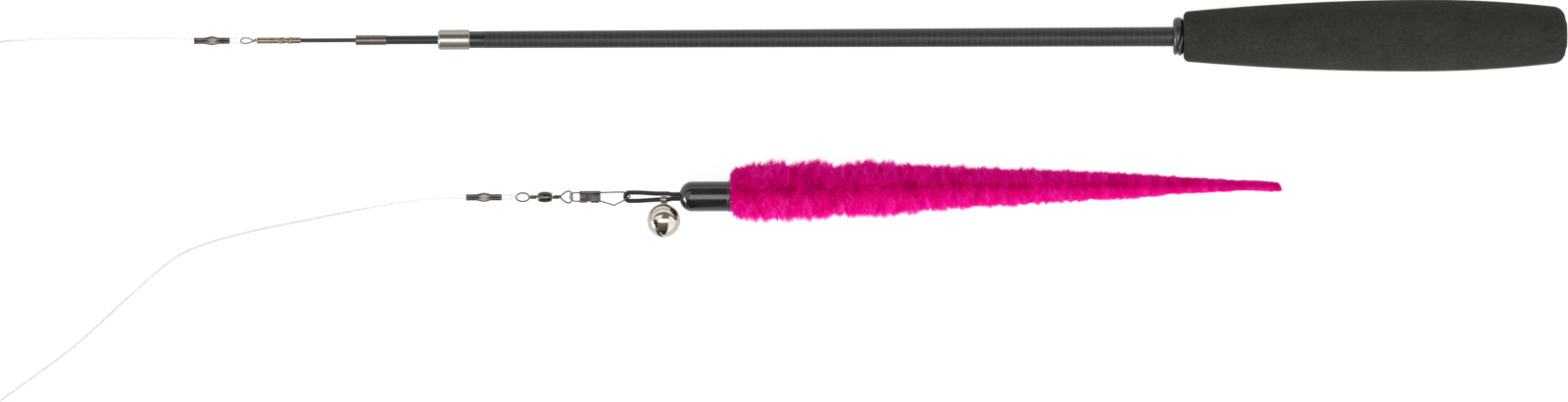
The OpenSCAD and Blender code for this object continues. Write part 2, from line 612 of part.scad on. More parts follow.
// The snap's wire: a loop through the swivel's eye, a leg, and a bend that rises through the elastic.
// Its plane is tilted, with the straight leg low and the arm's side high.
leg_v = snap_w / 2;
clasp_u = 2.7;
function on_snap(u, v) = [snap_x + u, lure_y + v * cos(snap_tilt), lure_z - v * sin(snap_tilt)];
arm_pivot = [bend_x - snap_wire_d * 1.6, lure_y - snap_wire_d * 0.8, over_z];
snap_loop = [for (a = [270 : -20 : 90]) on_snap(leg_v + leg_v * cos(a), leg_v * sin(a))];
leg_end_u = clasp_u + clasp_len + snap_wire_d;
snap_bend = smooth([
    on_snap(leg_end_u, leg_v),
    [link_x - elastic_turn_r * 1.6, lure_y + leg_v * 0.96, under_z + (lure_z - under_z) * 0.1],
    [link_x, lure_y + leg_v * 0.86, under_z],
    [link_x + elastic_turn_r * 0.6, lure_y + leg_v * 0.55, under_z + snap_wire_d * 0.3],
    [bend_x + snap_wire_d * 0.2, lure_y + snap_wire_d * 0.3, elastic_z],
    [bend_x + snap_wire_d * 0.2, lure_y - snap_wire_d * 0.3, elastic_z + (over_z - elastic_z) * 0.55],
    [bend_x - snap_wire_d * 0.5, lure_y - snap_wire_d * 0.7, over_z - snap_wire_d * 0.2],
    arm_pivot + [snap_wire_d / 2, 0, 0]], 3);

module snap_wire() color(black_nickel)
    wire(concat([on_snap(clasp_u + clasp_len * 0.35, -leg_v), on_snap(clasp_u, -leg_v)], snap_loop,
        [on_snap(clasp_u, leg_v)], snap_bend), snap_wire_d);

// The arm springs from the bend, runs out to its knee, and rests in the clasp's hook
hook_u = clasp_u + clasp_len * 0.55;
hook_len = clasp_len * 0.38;
module snap_arm() color(black_nickel) {
    knee = [arm_pivot.x - snap_len * 0.18, lure_y - leg_v - knee_out, arm_pivot.z];
    seat = on_snap(hook_u + hook_len, -leg_v);
    wire(concat([arm_pivot, arm_pivot + (knee - arm_pivot) * 0.5, knee - [0, -snap_wire_d, 0],
        knee - [snap_wire_d * 2, 0, 0]],
        [seat + [snap_wire_d, 0, 0], seat, on_snap(hook_u, -leg_v)]), snap_wire_d);
}

// The clasp: sheet folded round the leg and the loop's end, with an open hook for the arm
module snap_clasp() color(black_nickel)
    translate([snap_x, lure_y, lure_z]) rotate([-snap_tilt, 0, 0]) {
        fold_in_r = snap_wire_d / 2 + seat_gap;
        fold_r = fold_in_r + clasp_t;
        hook_in_r = snap_wire_d / 2 + turn_gap;
        difference() {
            union() {
                translate([clasp_u, leg_v, 0]) rotate([0, 90, 0]) cylinder(r = fold_r, h = clasp_len);
                translate([clasp_u, -leg_v, 0]) rotate([0, 90, 0]) cylinder(r = fold_r, h = clasp_len * 0.35);
                translate([clasp_u, -leg_v, -fold_r]) cube([clasp_len, 2 * leg_v, clasp_t]);
                translate([hook_u, -leg_v, 0]) rotate([0, 90, 0])
                    cylinder(r = hook_in_r + clasp_t, h = hook_len);
            }
            translate([clasp_u - cut, leg_v, 0]) rotate([0, 90, 0])
                cylinder(r = fold_in_r, h = clasp_len + 2 * cut);
            translate([clasp_u - cut, -leg_v, 0]) rotate([0, 90, 0])
                cylinder(r = fold_in_r, h = clasp_len * 0.35 + 2 * cut);
            translate([hook_u - cut, -leg_v, 0]) rotate([0, 90, 0]) cylinder(r = hook_in_r, h = clasp_len);
            translate([hook_u - turn_gap, -leg_v, 0]) rotate([snap_tilt, 0, 0])
                translate([0, -hook_in_r, 0]) cube([clasp_len, 2 * hook_in_r, fold_r + cut]);
        }
    }

// The elastic loop lies in one plane that rises to the cap. u runs along it and v across it.
// Its strands draw together towards the bell's strap, and lie side by side where they enter the cap.
strand_in = elastic_d / 2 + seat_gap;
knot_in = 2.2;
strap_near = bell_back - strap_w / 2 - turn_gap;
strap_far = bell_back + strap_w / 2 + turn_gap;
function eased(t) = let (c = min(max(t, 0), 1)) c * c * (3 - 2 * c);
function strand_v(u) = u > strap_near
    ? strap_v + (strand_in - strap_v) * eased((u - strap_far) / (elastic_slant - strap_far))
    : strap_v + (elastic_turn_r - strap_v) * eased((strap_near - u) / (strap_near - elastic_w));
function on_elastic(u, v) = [link_x + u * cos(elastic_pitch), lure_y + v, elastic_z + u * sin(elastic_pitch)];
strand_stops = concat([elastic_slant + knot_in],
    [for (k = [0 : 4]) elastic_slant + (strap_far - elastic_slant) * k / 4],
    [for (k = [0 : 5]) strap_near + (elastic_w - strap_near) * k / 5]);
elastic_route = concat([for (u = strand_stops) on_elastic(u, strand_v(u))],
    [for (a = [90 : 15 : 270]) on_elastic(elastic_turn_r + elastic_turn_r * cos(a), elastic_turn_r * sin(a))],
    [for (k = [len(strand_stops) - 1 : -1 : 0]) on_elastic(strand_stops[k], -strand_v(strand_stops[k]))]);

module elastic_loop() color(black_cord) wire(elastic_route, elastic_d, 12);

module elastic_knot() color(black_cord) translate(on_elastic(elastic_slant + knot_in + seat_gap, 0))
    rotate([0, 90 - elastic_pitch, 0]) {
        knot_d = 2 * strand_in + elastic_d;
        knot_edge = elastic_d / 3;
        rotate_extrude() polygon([[0, 0], [knot_d / 2, 0], [knot_d / 2 + knot_edge, knot_edge],
            [knot_d / 2 + knot_edge, elastic_d * 2 - knot_edge], [knot_d / 2, elastic_d * 2],
            [0, elastic_d * 2]]);
    }

cap_hole_r = strand_in + elastic_d / 2 + link_gap;
cap_in_r = cap_d / 2 - cap_wall;
cap_lip = 0.15;
cap_lip_w = 0.8;
function nose_arc(r, depth, from_r) = [for (k = [0 : 10]) let (a = asin(min(from_r / r, 1)))
    let (b = a + (90 - a) * k / 10) [r * sin(b), depth * (1 - cos(b))]];

module lure_cap() color(black_plastic) translate([cap_front_x, lure_y, cap_z]) rotate([0, 90, 0])
    rotate_extrude($fn = 72) {
        outer = nose_arc(cap_d / 2, cap_nose, cap_hole_r);
        inner = [for (q = nose_arc(cap_in_r, cap_nose - cap_wall / 2, cap_hole_r)) [q.x, q.y + cap_wall]];
        polygon(concat(outer,
            [[cap_d / 2, cap_len - cap_lip_w], [cap_d / 2 + cap_lip, cap_len - cap_lip_w],
            [cap_d / 2 + cap_lip, cap_len], [cap_in_r, cap_len]],
            [for (k = [len(inner) - 1 : -1 : 0]) inner[k]]));
    }

// The core is glued into the cap and reaches into the plush
core_head = 7.4;
module tail_core() color(pink) translate([cap_x - core_head, lure_y, cap_z]) rotate([0, 90, 0]) {
    cylinder(r = cap_in_r - seat_gap, h = core_head);
    cylinder(d = core_d, h = core_head + core_reach);
}

tail_rows = smooth(tail_shares, tail_steps);
function tail_ring(row) = let (r = row[1] * tail_d / 2, low = max(min(cap_z, row[1] * tail_d * tail_low_share
    + r * 0.25), r * 0.55), x = cap_x + slide_gap + row[0] * tail_len, y = lure_y + row[2] * tail_d)
    [for (k = [0 : tail_sides - 1]) let (a = 360 * k / tail_sides)
        [x, y + r * cos(a), low + sin(a) * (sin(a) > 0 ? r : low)]];

module tail_plush() color(pink) difference() {
    skin([for (row = tail_rows) tail_ring(row)]);
    translate([cap_x - cut, lure_y, cap_z]) rotate([0, 90, 0])
        cylinder(d = core_d + 2 * seat_gap, h = cut + core_reach + seat_gap);
}

// The bell's own frame: its middle at the origin, +Z to the strand that it hangs on, X along that strand
module on_bell() {
    translate([strand_x, lure_y - strap_v, strand_z]) rotate([0, -elastic_pitch, 0])
        rotate([-bell_lift, 0, 0]) translate([0, -bell_drop, 0]) rotate([-90, 0, 0]) children();
}
bell_in_r = bell_r - bell_wall;
neck_t = 0.5;
foot_w = strap_w + 2 * strap_t;
foot_z = sqrt(pow(bell_in_r, 2) - pow(foot_w / 2, 2) - pow(foot_w / 4, 2)) - turn_gap;
bell_seam = 0.05;
bell_turn = 74;   // turns the slot's near end up, as in the photograph

module bell_top() color(nickel) on_bell() difference() {
    sphere(r = bell_r, $fn = 96);
    sphere(r = bell_in_r, $fn = 96);
    translate([-bell_d, -bell_d, -2 * bell_d]) cube(2 * bell_d);
    translate([-strap_w / 2 - turn_gap, -neck_t / 2 - turn_gap, bell_in_r / 2])
        cube([strap_w + 2 * turn_gap, neck_t + 2 * turn_gap, bell_r]);
}

module bell_bottom() color(nickel) on_bell() difference() {
    hole_z = -bell_hole_d * 0.6;
    sphere(r = bell_r, $fn = 96);
    sphere(r = bell_in_r, $fn = 96);
    translate([-bell_d, -bell_d, -bell_seam]) cube(2 * bell_d);
    rotate([0, 0, bell_turn]) {
        translate([-bell_d, 0, hole_z]) rotate([0, 90, 0]) cylinder(d = bell_hole_d, h = 2 * bell_d);
        translate([-bell_d, -bell_slot_w / 2, -bell_d + hole_z]) cube([2 * bell_d, bell_slot_w, bell_d]);
    }
}

module bell_strap() color(nickel) on_bell() {
    difference() {
        union() {
            translate([-strap_w / 2, 0, bell_drop]) rotate([0, 90, 0]) cylinder(r = strap_out_r, h = strap_w);
            translate([-strap_w / 2, -neck_t / 2, foot_z - strap_t])
                cube([strap_w, neck_t, bell_drop - foot_z]);
        }
        translate([-strap_w, 0, bell_drop]) rotate([0, 90, 0]) cylinder(r = strap_in_r, h = 2 * strap_w);
    }
    translate([-foot_w / 2, -foot_w / 4, foot_z - strap_t]) cube([foot_w, foot_w / 2, strap_t]);
}

// The pea lies at the bottom of the bell
bell_away = bell_drop * sin(bell_lift);
bell_middle = [strand_x - bell_away * sin(elastic_pitch), lure_y - strap_v - bell_drop * cos(bell_lift),
    strand_z + bell_away * cos(elastic_pitch)];
pea_play = bell_in_r - pea_d / 2 - turn_gap;
module bell_pea() color(nickel) translate(bell_middle - [0, 0, pea_play]) sphere(d = pea_d);

grip();
grip_ring();
tube_plug();
outer_tube();
outer_ferrule();
middle_tube();
middle_ferrule();
middle_collar();
tip_rod();
tip_collar();
tip_sleeve();
tip_eye();
tip_line_loop();
tip_crimp();
line_upper();
line_coil();
line_tie();
line_lower();
lure_crimp();
lure_line_loop();
swivel_line_eye();
swivel_barrel();
swivel_snap_eye();
snap_wire();
snap_clasp();
snap_arm();
elastic_loop();
elastic_knot();
lure_cap();
tail_core();
tail_plush();
bell_top();
bell_bottom();
bell_strap();
bell_pea();

// Prints the coil's least gap to itself, measured between points more than half a turn apart,
// the line's whole length, and the places and ranges of the joints
near = round(coil_rings / 2);
coil_gap = min([for (i = [0 : 3 : len(wound) - 1 - near])
    min([for (j = [i + near : min(i + coil_rings * 2 * layer_turns, len(wound) - 1)])
        norm(wound[i] - wound[j])])]) - line_d;
echo(coil_gap = coil_gap);
echo(line_length = route_len(upper_line) + route_len(coil_route) + route_len(lower_line));
echo(wand_axis = [0, wand_y, wand_z], slides = [middle_in, middle_out, tip_in, tip_out]);
echo(lure_axis = [0, lure_y, lure_z], butt = butt_x, tip = tip_x);
echo(snap_pivot = [snap_eye_x, lure_y, lure_z], arm_pivot = arm_pivot);
echo(lure_pivot = [link_x, lure_y, elastic_z], elastic_pitch = elastic_pitch);
echo(bell_pivot = [strand_x, lure_y - strap_v, strand_z], pea_travel = 2 * pea_play);
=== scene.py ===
# %% [markdown]
# # A cat teaser wand, dressed for its picture
# The wand comes in as a CAD frame: named solids in metres, grouped into bodies that move. This lesson gives
# each piece its real finish. Pieces whose CAD shape is already right keep it and get a material. Wire, cord,
# plush and most curved pieces are built again with finer steps, because the solids are too coarse for them.

# %% Load the frame
import math

import bmesh
import bpy
import numpy as np
from mathutils import Matrix, Vector


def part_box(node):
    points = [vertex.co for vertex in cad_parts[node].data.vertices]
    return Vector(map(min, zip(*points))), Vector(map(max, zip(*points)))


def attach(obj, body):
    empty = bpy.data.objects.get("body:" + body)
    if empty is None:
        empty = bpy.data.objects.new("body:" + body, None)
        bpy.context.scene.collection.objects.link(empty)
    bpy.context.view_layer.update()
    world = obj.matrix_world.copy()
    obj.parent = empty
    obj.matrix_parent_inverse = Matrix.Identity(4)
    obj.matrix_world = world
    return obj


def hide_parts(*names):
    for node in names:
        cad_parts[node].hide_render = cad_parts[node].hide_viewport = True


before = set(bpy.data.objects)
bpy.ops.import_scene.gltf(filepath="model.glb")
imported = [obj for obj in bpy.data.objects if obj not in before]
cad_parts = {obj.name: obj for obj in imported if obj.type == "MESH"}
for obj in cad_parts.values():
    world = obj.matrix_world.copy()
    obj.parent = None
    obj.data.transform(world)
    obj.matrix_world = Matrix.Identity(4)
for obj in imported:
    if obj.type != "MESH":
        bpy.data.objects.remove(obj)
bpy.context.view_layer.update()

MM = 0.001

# %% [markdown]
# The frame knows where each solid lies, so the places of the wand and the lure are read from it. All lengths
# in this file are in millimetres until a mesh is made.

# %% Places on the wand and on the lure
def box_mm(node):
    low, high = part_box(node)
    return np.array(low) / MM, np.array(high) / MM


def middle_mm(node):
    low, high = box_mm(node)
    return (low + high) / 2


wand_y, wand_z = middle_mm("tip_rod")[1:]
lure_y, lure_z = middle_mm("swivel_barrel")[1:]
butt_x = box_mm("grip")[1][0]
tip_x = box_mm("tip_sleeve")[0][0]
CAP_LEN = 14.7  # from the rim to where the domed nose would end if it had no hole
cap_x = box_mm("lure_cap")[1][0]
cap_front_x = cap_x - CAP_LEN
print("wand axis y, z:", round(wand_y, 3), round(wand_z, 3))
print("lure axis y, z:", round(lure_y, 3), round(lure_z, 3))

# %% [markdown]
# The picture was taken from straight above with a long lens, so the camera hangs high over the table and
# looks down. The frame is 448 mm wide. The photographer's camera was turned by a quarter of a degree, and so
# is this one. Two small helpers come first: one sets several properties at once, the other puts a new object
# in the scene.

# %% The camera
def put(obj, **settings):
    """Sets several properties at once."""
    for key, value in settings.items():
        setattr(obj, key, value)
    return obj


def linked(name, data):
    """A new object in the scene."""
    obj = bpy.data.objects.new(name, data)
    bpy.context.collection.objects.link(obj)
    return obj


VIEW_WIDTH = 448.5
VIEW_MIDDLE = (-34.3, -23.2)
CAMERA_HEIGHT = 4500.0
CAMERA_ROLL = math.radians(-0.25)
SENSOR_WIDTH = 36.0

lens = put(bpy.data.cameras.new("camera"), sensor_fit="HORIZONTAL", sensor_width=SENSOR_WIDTH, clip_end=50.0,
           lens=SENSOR_WIDTH * (CAMERA_HEIGHT - lure_z) / VIEW_WIDTH)
bpy.context.scene.camera = put(linked("camera", lens), location=Vector((*VIEW_MIDDLE, CAMERA_HEIGHT)) * MM,
                               rotation_euler=(0.0, 0.0, CAMERA_ROLL))
print("lens:", round(lens.lens, 1), "mm")

# %% [markdown]
# A few helpers carry most of this file. They turn points in millimetres into a mesh at the origin, skin
# rings of points, turn a profile on a lathe, and sweep a round section along a path, as a drawn wire is
# round all along. Its frame is carried on without twisting, and its UV map runs along the wire in
# millimetres, so a braid can follow it.

# %% Helpers for meshes
def make_mesh(name, points, faces, uvs=None, smooth=True):
    mesh = bpy.data.meshes.new(name)
    mesh.from_pydata([tuple(p) for p in np.asarray(points, float) * MM], [],
                     [tuple(int(i) for i in f) for f in faces])
    if uvs is not None:
        layer = mesh.uv_layers.new(name="along")
        layer.data.foreach_set("uv", np.asarray(uvs, float).ravel())
    mesh.validate()
    mesh.polygons.foreach_set("use_smooth", [smooth] * len(mesh.polygons))
    return linked(name, mesh)


def circle(count):
    """The angles of points that are spread evenly round a circle."""
    return np.arange(count) * 2 * math.pi / count


def arc(middle, radii, start, end, count):
    """Points on an ellipse, as pairs; the angles are in degrees."""
    return [(middle[0] + radii[0] * math.cos(a), middle[1] + radii[1] * math.sin(a))
            for a in np.radians(np.linspace(start, end, count))]


def unit(v):
    return v / max(np.linalg.norm(v), 1e-12)


def eased(t):
    t = min(max(t, 0.0), 1.0)
    return t * t * (3 - 2 * t)


def smooth_path(points, steps):
    """A Catmull-Rom curve through the points."""
    p = np.asarray(points, float)
    out = []
    for i in range(len(p) - 1):
        a, b, c, d = p[max(i - 1, 0)], p[i], p[i + 1], p[min(i + 2, len(p) - 1)]
        for t in np.arange(steps) / steps:
            out.append((2 * b + (c - a) * t + (2 * a - 5 * b + 4 * c - d) * t * t
                        + (3 * b - a - 3 * c + d) * t ** 3) / 2)
    return np.array(out + [p[-1]])


def skin(rows, sides):
    """The faces between rings of points, and the two faces that close the ends."""
    faces = [(i * sides + k, i * sides + (k + 1) % sides,
              (i + 1) * sides + (k + 1) % sides, (i + 1) * sides + k)
             for i in range(rows - 1) for k in range(sides)]
    last = (rows - 1) * sides
    return faces + [tuple(range(sides)), tuple(range(last, last + sides))]


def swept(path, radius, sides, up=(0, 0, 1)):
    """Points, faces and UVs of a round tube along a path; radius is one number or one for each point."""
    p = np.asarray(path, float)
    n = len(p)
    radii = np.broadcast_to(np.asarray(radius, float), (n,))
    heads = np.array([unit(p[min(i + 1, n - 1)] - p[max(i - 1, 0)]) for i in range(n)])
    side = unit(np.array(up, float) - heads[0] * np.dot(up, heads[0]))
    angles = circle(sides)
    rings = []
    for i in range(n):
        side = unit(side - heads[i] * np.dot(side, heads[i]))
        other = np.cross(heads[i], side)
        rings.append(p[i] + radii[i] * (np.outer(np.cos(angles), side) + np.outer(np.sin(angles), other)))
    along = np.concatenate([[0], np.cumsum(np.linalg.norm(np.diff(p, axis=0), axis=1))])
    uvs = []
    for u0, u1 in zip(along, along[1:]):
        for k in range(sides):
            uvs += [(u0, k / sides), (u0, (k + 1) / sides), (u1, (k + 1) / sides), (u1, k / sides)]
    uvs += [(0.0, 0.5)] * sides + [(along[-1], 0.5)] * sides
    faces = skin(n, sides)
    faces[-2] = faces[-2][::-1]  # the near end has to face the other way
    return np.concatenate(rings), faces, uvs


def wire(name, path, thickness, sides):
    return make_mesh(name, *swept(path, thickness / 2, sides)[:2])


def joined(parts):
    """Joins the points and faces of several meshes."""
    points, faces = [], []
    for part_points, part_faces, *_ in parts:
        faces += [tuple(i + len(points) for i in face) for face in part_faces]
        points += list(part_points)
    return points, faces


def lathe(profile, segments, origin, direction=1.0):
    """Turns a profile of (distance, radius) pairs about the X axis; the distance runs from origin along X."""
    points, rows, faces = [], [], []
    for s, r in profile:
        count = segments if r > 1e-9 else 1
        rows.append(range(len(points), len(points) + count))
        points += [(origin[0] + direction * s, origin[1] + r * math.cos(a), origin[2] + r * math.sin(a))
                   for a in circle(segments)[:count]]
    for row, after in zip(rows, rows[1:]):
        for k in range(segments):
            m = (k + 1) % segments
            corners = [row[k % len(row)], row[m % len(row)], after[m % len(after)], after[k % len(after)]]
            corners = list(dict.fromkeys(corners))
            if len(corners) > 2:
                faces.append(corners if direction > 0 else corners[::-1])
    return np.array(points), faces


def closed_mesh(name, points, faces):
    return face_outwards(make_mesh(name, points, faces))


def face_outwards(obj):
    """Merges the doubles of a mesh and turns every face outwards."""
    work = bmesh.new()
    work.from_mesh(obj.data)
    bmesh.ops.remove_doubles(work, verts=work.verts, dist=1e-8)
    bmesh.ops.recalc_face_normals(work, faces=work.faces)
    work.to_mesh(obj.data)
    work.free()
    return obj


def applied(obj):
    """Bakes an object's modifiers into a plain mesh."""
    depsgraph = bpy.context.evaluated_depsgraph_get()
    mesh = bpy.data.meshes.new_from_object(obj.evaluated_get(depsgraph), preserve_all_data_layers=True,
                                           depsgraph=depsgraph)
    obj.modifiers.clear()
    obj.data = mesh
    return obj


def bevelled(obj, width_mm, segments, degrees):
    """Rounds the edges that are sharper than the angle."""
    put(obj.modifiers.new("edges", "BEVEL"), width=width_mm * MM, segments=segments, limit_method="ANGLE",
        angle_limit=math.radians(degrees))
    return applied(obj)


def give(obj, *materials):
    obj.data.materials.clear()
    for made in materials:
        obj.data.materials.append(made)


def coat(material, *nodes):
    """Gives a material to solids that are shown as they came."""
    for node in nodes:
        give(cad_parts[node], material)


def dress(obj, body, slot, nodes, *materials, edge=50):
    """Finishes a piece: smooth shading up to an edge angle, materials, its body and its solids. The slot is
    not used.
    """
    if edge:
        obj.data.polygons.foreach_set("use_smooth", [True] * len(obj.data.polygons))
        obj.data.set_sharp_from_angle(angle=math.radians(edge))
    if materials:
        give(obj, *materials)
    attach(obj, body)
    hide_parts(*nodes)
    print(obj.name + ":", len(obj.data.polygons), "faces, on", body)
    return obj


# %% [markdown]
# The nylon line comes early, because it decides how far the whole model reaches. It is one continuous
# monofilament, 0.6 mm thick and about 0.8 m long. It leaves the first crimp behind the wand's tip, drops to
# the table, runs out of the picture, and comes back to the second crimp beside the swivel. What the
# photograph doesn't show is wound in sixteen turns just outside the view. The points are those of the CAD
# route.

# %% The nylon line
LINE_D, LINE_STEPS = 0.6, 6
CRIMP_LEN = 10.2
CRIMP_BORE_Y = 0.38
CRIMP_GAP = 0.06
tip_crimp_x = box_mm("tip_crimp")[1][0]
lure_crimp_x = box_mm("lure_crimp")[1][0]
COIL_MIDDLE = (-285.0, -26.0)
COIL_R, COIL_PITCH, COIL_LAYERS, LAYER_TURNS, COIL_STEPS = 6.7, 1.04, 4, 4, 36
COIL_Z = 0.95
coil_top = COIL_Z + (COIL_LAYERS - 1) * COIL_PITCH
coil_side = COIL_MIDDLE[0] + COIL_R

upper_start = tip_crimp_x - CRIMP_LEN - CRIMP_GAP
upper_route = [
    (upper_start, wand_y + CRIMP_BORE_Y, wand_z), (upper_start - LINE_D, wand_y + CRIMP_BORE_Y, wand_z),
    (-208, 23.9, 9.9), (-215, 24, 8.6), (-224, 24, 6.1), (-232.5, 24.1, 3.7), (-241, 24.1, 1.7),
    (-247, 24, 0.8), (-252.5, 23.7, 0.4), (-258, 23.3, 0.3), (-266, 21.2, 0.3), (-272.5, 16, 0.3),
    (-276.5, 8, 0.3), (-278.2, -2, 0.9), (-278.4, -11, 2.7), (-278.3, -19, 4),
    (coil_side, COIL_MIDDLE[1] + 2 * LINE_D, coil_top), (coil_side, COIL_MIDDLE[1] + LINE_D, coil_top)]
lower_end = lure_crimp_x - CRIMP_LEN - CRIMP_GAP
lower_route = [
    (coil_side, COIL_MIDDLE[1] - LINE_D, COIL_Z), (coil_side, COIL_MIDDLE[1] - 2 * LINE_D, COIL_Z),
    (-278.4, -38, 0.3), (-279, -53, 0.3), (-279.3, -68, 0.3), (-277, -79, 0.3), (-271, -85.3, 0.3),
    (-264, -83.4, 0.3), (-258.4, -79.1, 0.3), (-247.2, -71.1, 0.3), (-236, -62.6, 0.3), (-222.6, -50.5, 0.3),
    (-210, -39.7, 0.3), (-201, -35.2, 0.3), (-187, -31.3, 0.3), (-169, -27.7, 0.3), (-151, -24.3, 0.4),
    (-140, -22.6, 0.8), (-131, -22, 1.4),
    (lower_end - LINE_D, lure_y - CRIMP_BORE_Y, lure_z), (lower_end, lure_y - CRIMP_BORE_Y, lure_z)]


def laid(route):
    """A smooth path through a route, straight at its ends and never below the table."""
    path = np.concatenate([[route[0]], smooth_path(route[1:-1], LINE_STEPS), [route[-1]]])
    path[:, 2] = np.maximum(path[:, 2], LINE_D / 2)
    return path


def coil_point(t):
    """A place on the coil after t turns: in and out in flat layers, with a step up between two of them."""
    u = t % (2 * LAYER_TURNS)
    radius = COIL_R - COIL_PITCH * (u if u < LAYER_TURNS else 2 * LAYER_TURNS - u)
    n = round(t / LAYER_TURNS)
    level = n - 0.5 + min(max((t - n * LAYER_TURNS) * 2, -0.5), 0.5)
    level = 0 if n <= 0 else COIL_LAYERS - 1 if n >= COIL_LAYERS else level
    a = 2 * math.pi * t
    return (COIL_MIDDLE[0] + radius * math.cos(a), COIL_MIDDLE[1] + radius * math.sin(a),
            COIL_Z + COIL_PITCH * level)


coil_path = np.array([coil_point(k / COIL_STEPS) for k in range(COIL_LAYERS * LAYER_TURNS * COIL_STEPS + 1)])
line_path = np.concatenate([laid(upper_route), coil_path[::-1], laid(lower_route)])

# The bevel is 1 times each point's own radius, because the radius, in metres, counts in the bounding box.
line_curve = put(bpy.data.curves.new("nylon_line", "CURVE"), dimensions="3D", bevel_depth=1.0,
                 bevel_resolution=3, use_fill_caps=True)
spline = line_curve.splines.new("POLY")
spline.points.add(len(line_path) - 1)
spline.points.foreach_set("co", np.column_stack([line_path * MM, np.ones(len(line_path))]).ravel())
spline.points.foreach_set("radius", np.full(len(line_path), LINE_D / 2 * MM))
nylon_line = linked("nylon_line", line_curve)
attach(nylon_line, "tip_section")
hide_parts("line_upper", "line_coil", "line_lower")

# %% [markdown]
# Everything below is drawn with node-based materials, so short helpers come first: they turn a hex colour
# linear, add a node with its settings, and wrap the handful of nodes that nearly every material needs.

# %% Colour and node helpers
def linear(hex_colour):
    """An sRGB hex value as the linear colour that shaders work with."""
    parts = [int(hex_colour[i:i + 2], 16) / 255 for i in (1, 3, 5)]
    return tuple(c / 12.92 if c <= 0.04045 else ((c + 0.055) / 1.055) ** 2.4 for c in parts) + (1.0,)


def add(tree, kind, inputs=None, **settings):
    """Adds a node with its settings; an input is a value, or the socket or node that it is linked to."""
    node = put(tree.nodes.new(kind), **settings)
    for key, value in (inputs or {}).items():
        if isinstance(value, bpy.types.Node):
            value = value.outputs[0]
        if isinstance(value, bpy.types.NodeSocket):
            tree.links.new(value, node.inputs[key])
        else:
            node.inputs[key].default_value = value
    return node


def add_after(values, kind, inputs, **settings):
    """Adds a node to the tree of the first socket or node among the values."""
    tree = next(value.id_data for value in values if hasattr(value, "id_data"))
    return add(tree, kind, inputs, **settings)


def material(name):
    made = put(bpy.data.materials.new(name), use_nodes=True)
    made.node_tree.nodes.clear()
    return made, made.node_tree


def close(shader):
    add_after([shader], "ShaderNodeOutputMaterial", {"Surface": shader})


def maths(operation, *values):
    return add_after(values, "ShaderNodeMath", dict(enumerate(values)), operation=operation).outputs[0]


def weighted(*pairs):
    """The sum of values, each times its weight."""
    parts = [maths("MULTIPLY", value, weight) for value, weight in pairs]
    while len(parts) > 1:
        parts[:2] = [maths("ADD", parts[0], parts[1])]
    return parts[0]


def remap(value, low, high, to_low=0.0, to_high=1.0, kind="LINEAR"):
    return add_after([value], "ShaderNodeMapRange", {
        "Value": value, "From Min": low, "From Max": high, "To Min": to_low, "To Max": to_high},
        interpolation_type=kind).outputs[0]


def ramp(factor, stops):
    """A colour ramp from (place, hex) pairs."""
    node = add_after([factor], "ShaderNodeValToRGB", {"Fac": factor})
    while len(node.color_ramp.elements) < len(stops):
        node.color_ramp.elements.new(0.5)
    for element, (place, colour) in zip(node.color_ramp.elements, stops):
        put(element, position=place, color=linear(colour))
    return node.outputs["Color"]


def coords(tree, kind="Object"):
    return add(tree, "ShaderNodeTexCoord").outputs[kind]


def axes(vector):
    return add_after([vector], "ShaderNodeSeparateXYZ", {"Vector": vector}).outputs


def noise(tree, size_mm, detail, vector=None, roughness=0.5):
    """Soft noise; the size is that of its largest spots."""
    return add(tree, "ShaderNodeTexNoise", {"Vector": vector or coords(tree), "Scale": 1 / (size_mm * MM),
                                            "Detail": detail, "Roughness": roughness}).outputs["Fac"]


def bump(height, depth_mm, strength=1.0, **below):
    return add_after([height], "ShaderNodeBump", {
        "Height": height, "Distance": depth_mm * MM, "Strength": strength, **below})


def grain(tree, size_mm, depth_mm, vector=None):
    """A bump of fine noise."""
    return bump(noise(tree, size_mm, 4.0, vector), depth_mm)


def skinned(tree, colour, roughness, normal=None, ior=1.5, gloss=0.5, **more):
    """The main shader of a surface; the colour is a hex value or a socket."""
    if normal:
        more["Normal"] = normal
    return add(tree, "ShaderNodeBsdfPrincipled", {
        "Base Color": linear(colour) if isinstance(colour, str) else colour, "Roughness": roughness,
        "IOR": ior, "Specular IOR Level": gloss, **more})


def mixed(share, first, second):
    return add_after([first], "ShaderNodeMixShader", {0: share, 1: first, 2: second})


# %% [markdown]
# The table is a plain sheet that the camera sees as pure white, as in a cut-out picture. Its own colour is
# pale, so it still takes the object's shadow: the camera, polished metal and clear nylon see a steady glow,
# and only the last part of its brightness comes from the lamps.

# %% The table
TABLE_GLOW = 0.8
TABLE_HALF, TABLE_Z = 2500.0, -0.02

table_white, tree = material("white_paper_table")
rays = add(tree, "ShaderNodeLightPath").outputs
seen = maths("MAXIMUM", rays["Is Camera Ray"],
             maths("MAXIMUM", rays["Is Glossy Ray"], rays["Is Transmission Ray"]))
paper = add(tree, "ShaderNodeBsdfDiffuse", {"Color": linear("#8f8f8f")})
glow = add(tree, "ShaderNodeEmission", {
    "Color": (1, 1, 1, 1), "Strength": maths("MULTIPLY", seen, TABLE_GLOW)})
close(add(tree, "ShaderNodeAddShader", {0: paper, 1: glow}))

corners = [(x * TABLE_HALF, y * TABLE_HALF, TABLE_Z) for x, y in ((-1, -1), (1, -1), (1, 1), (-1, 1))]
table = make_mesh("table", corners, [(0, 1, 2, 3)], smooth=False)
give(table, table_white)
print("table glow:", TABLE_GLOW)

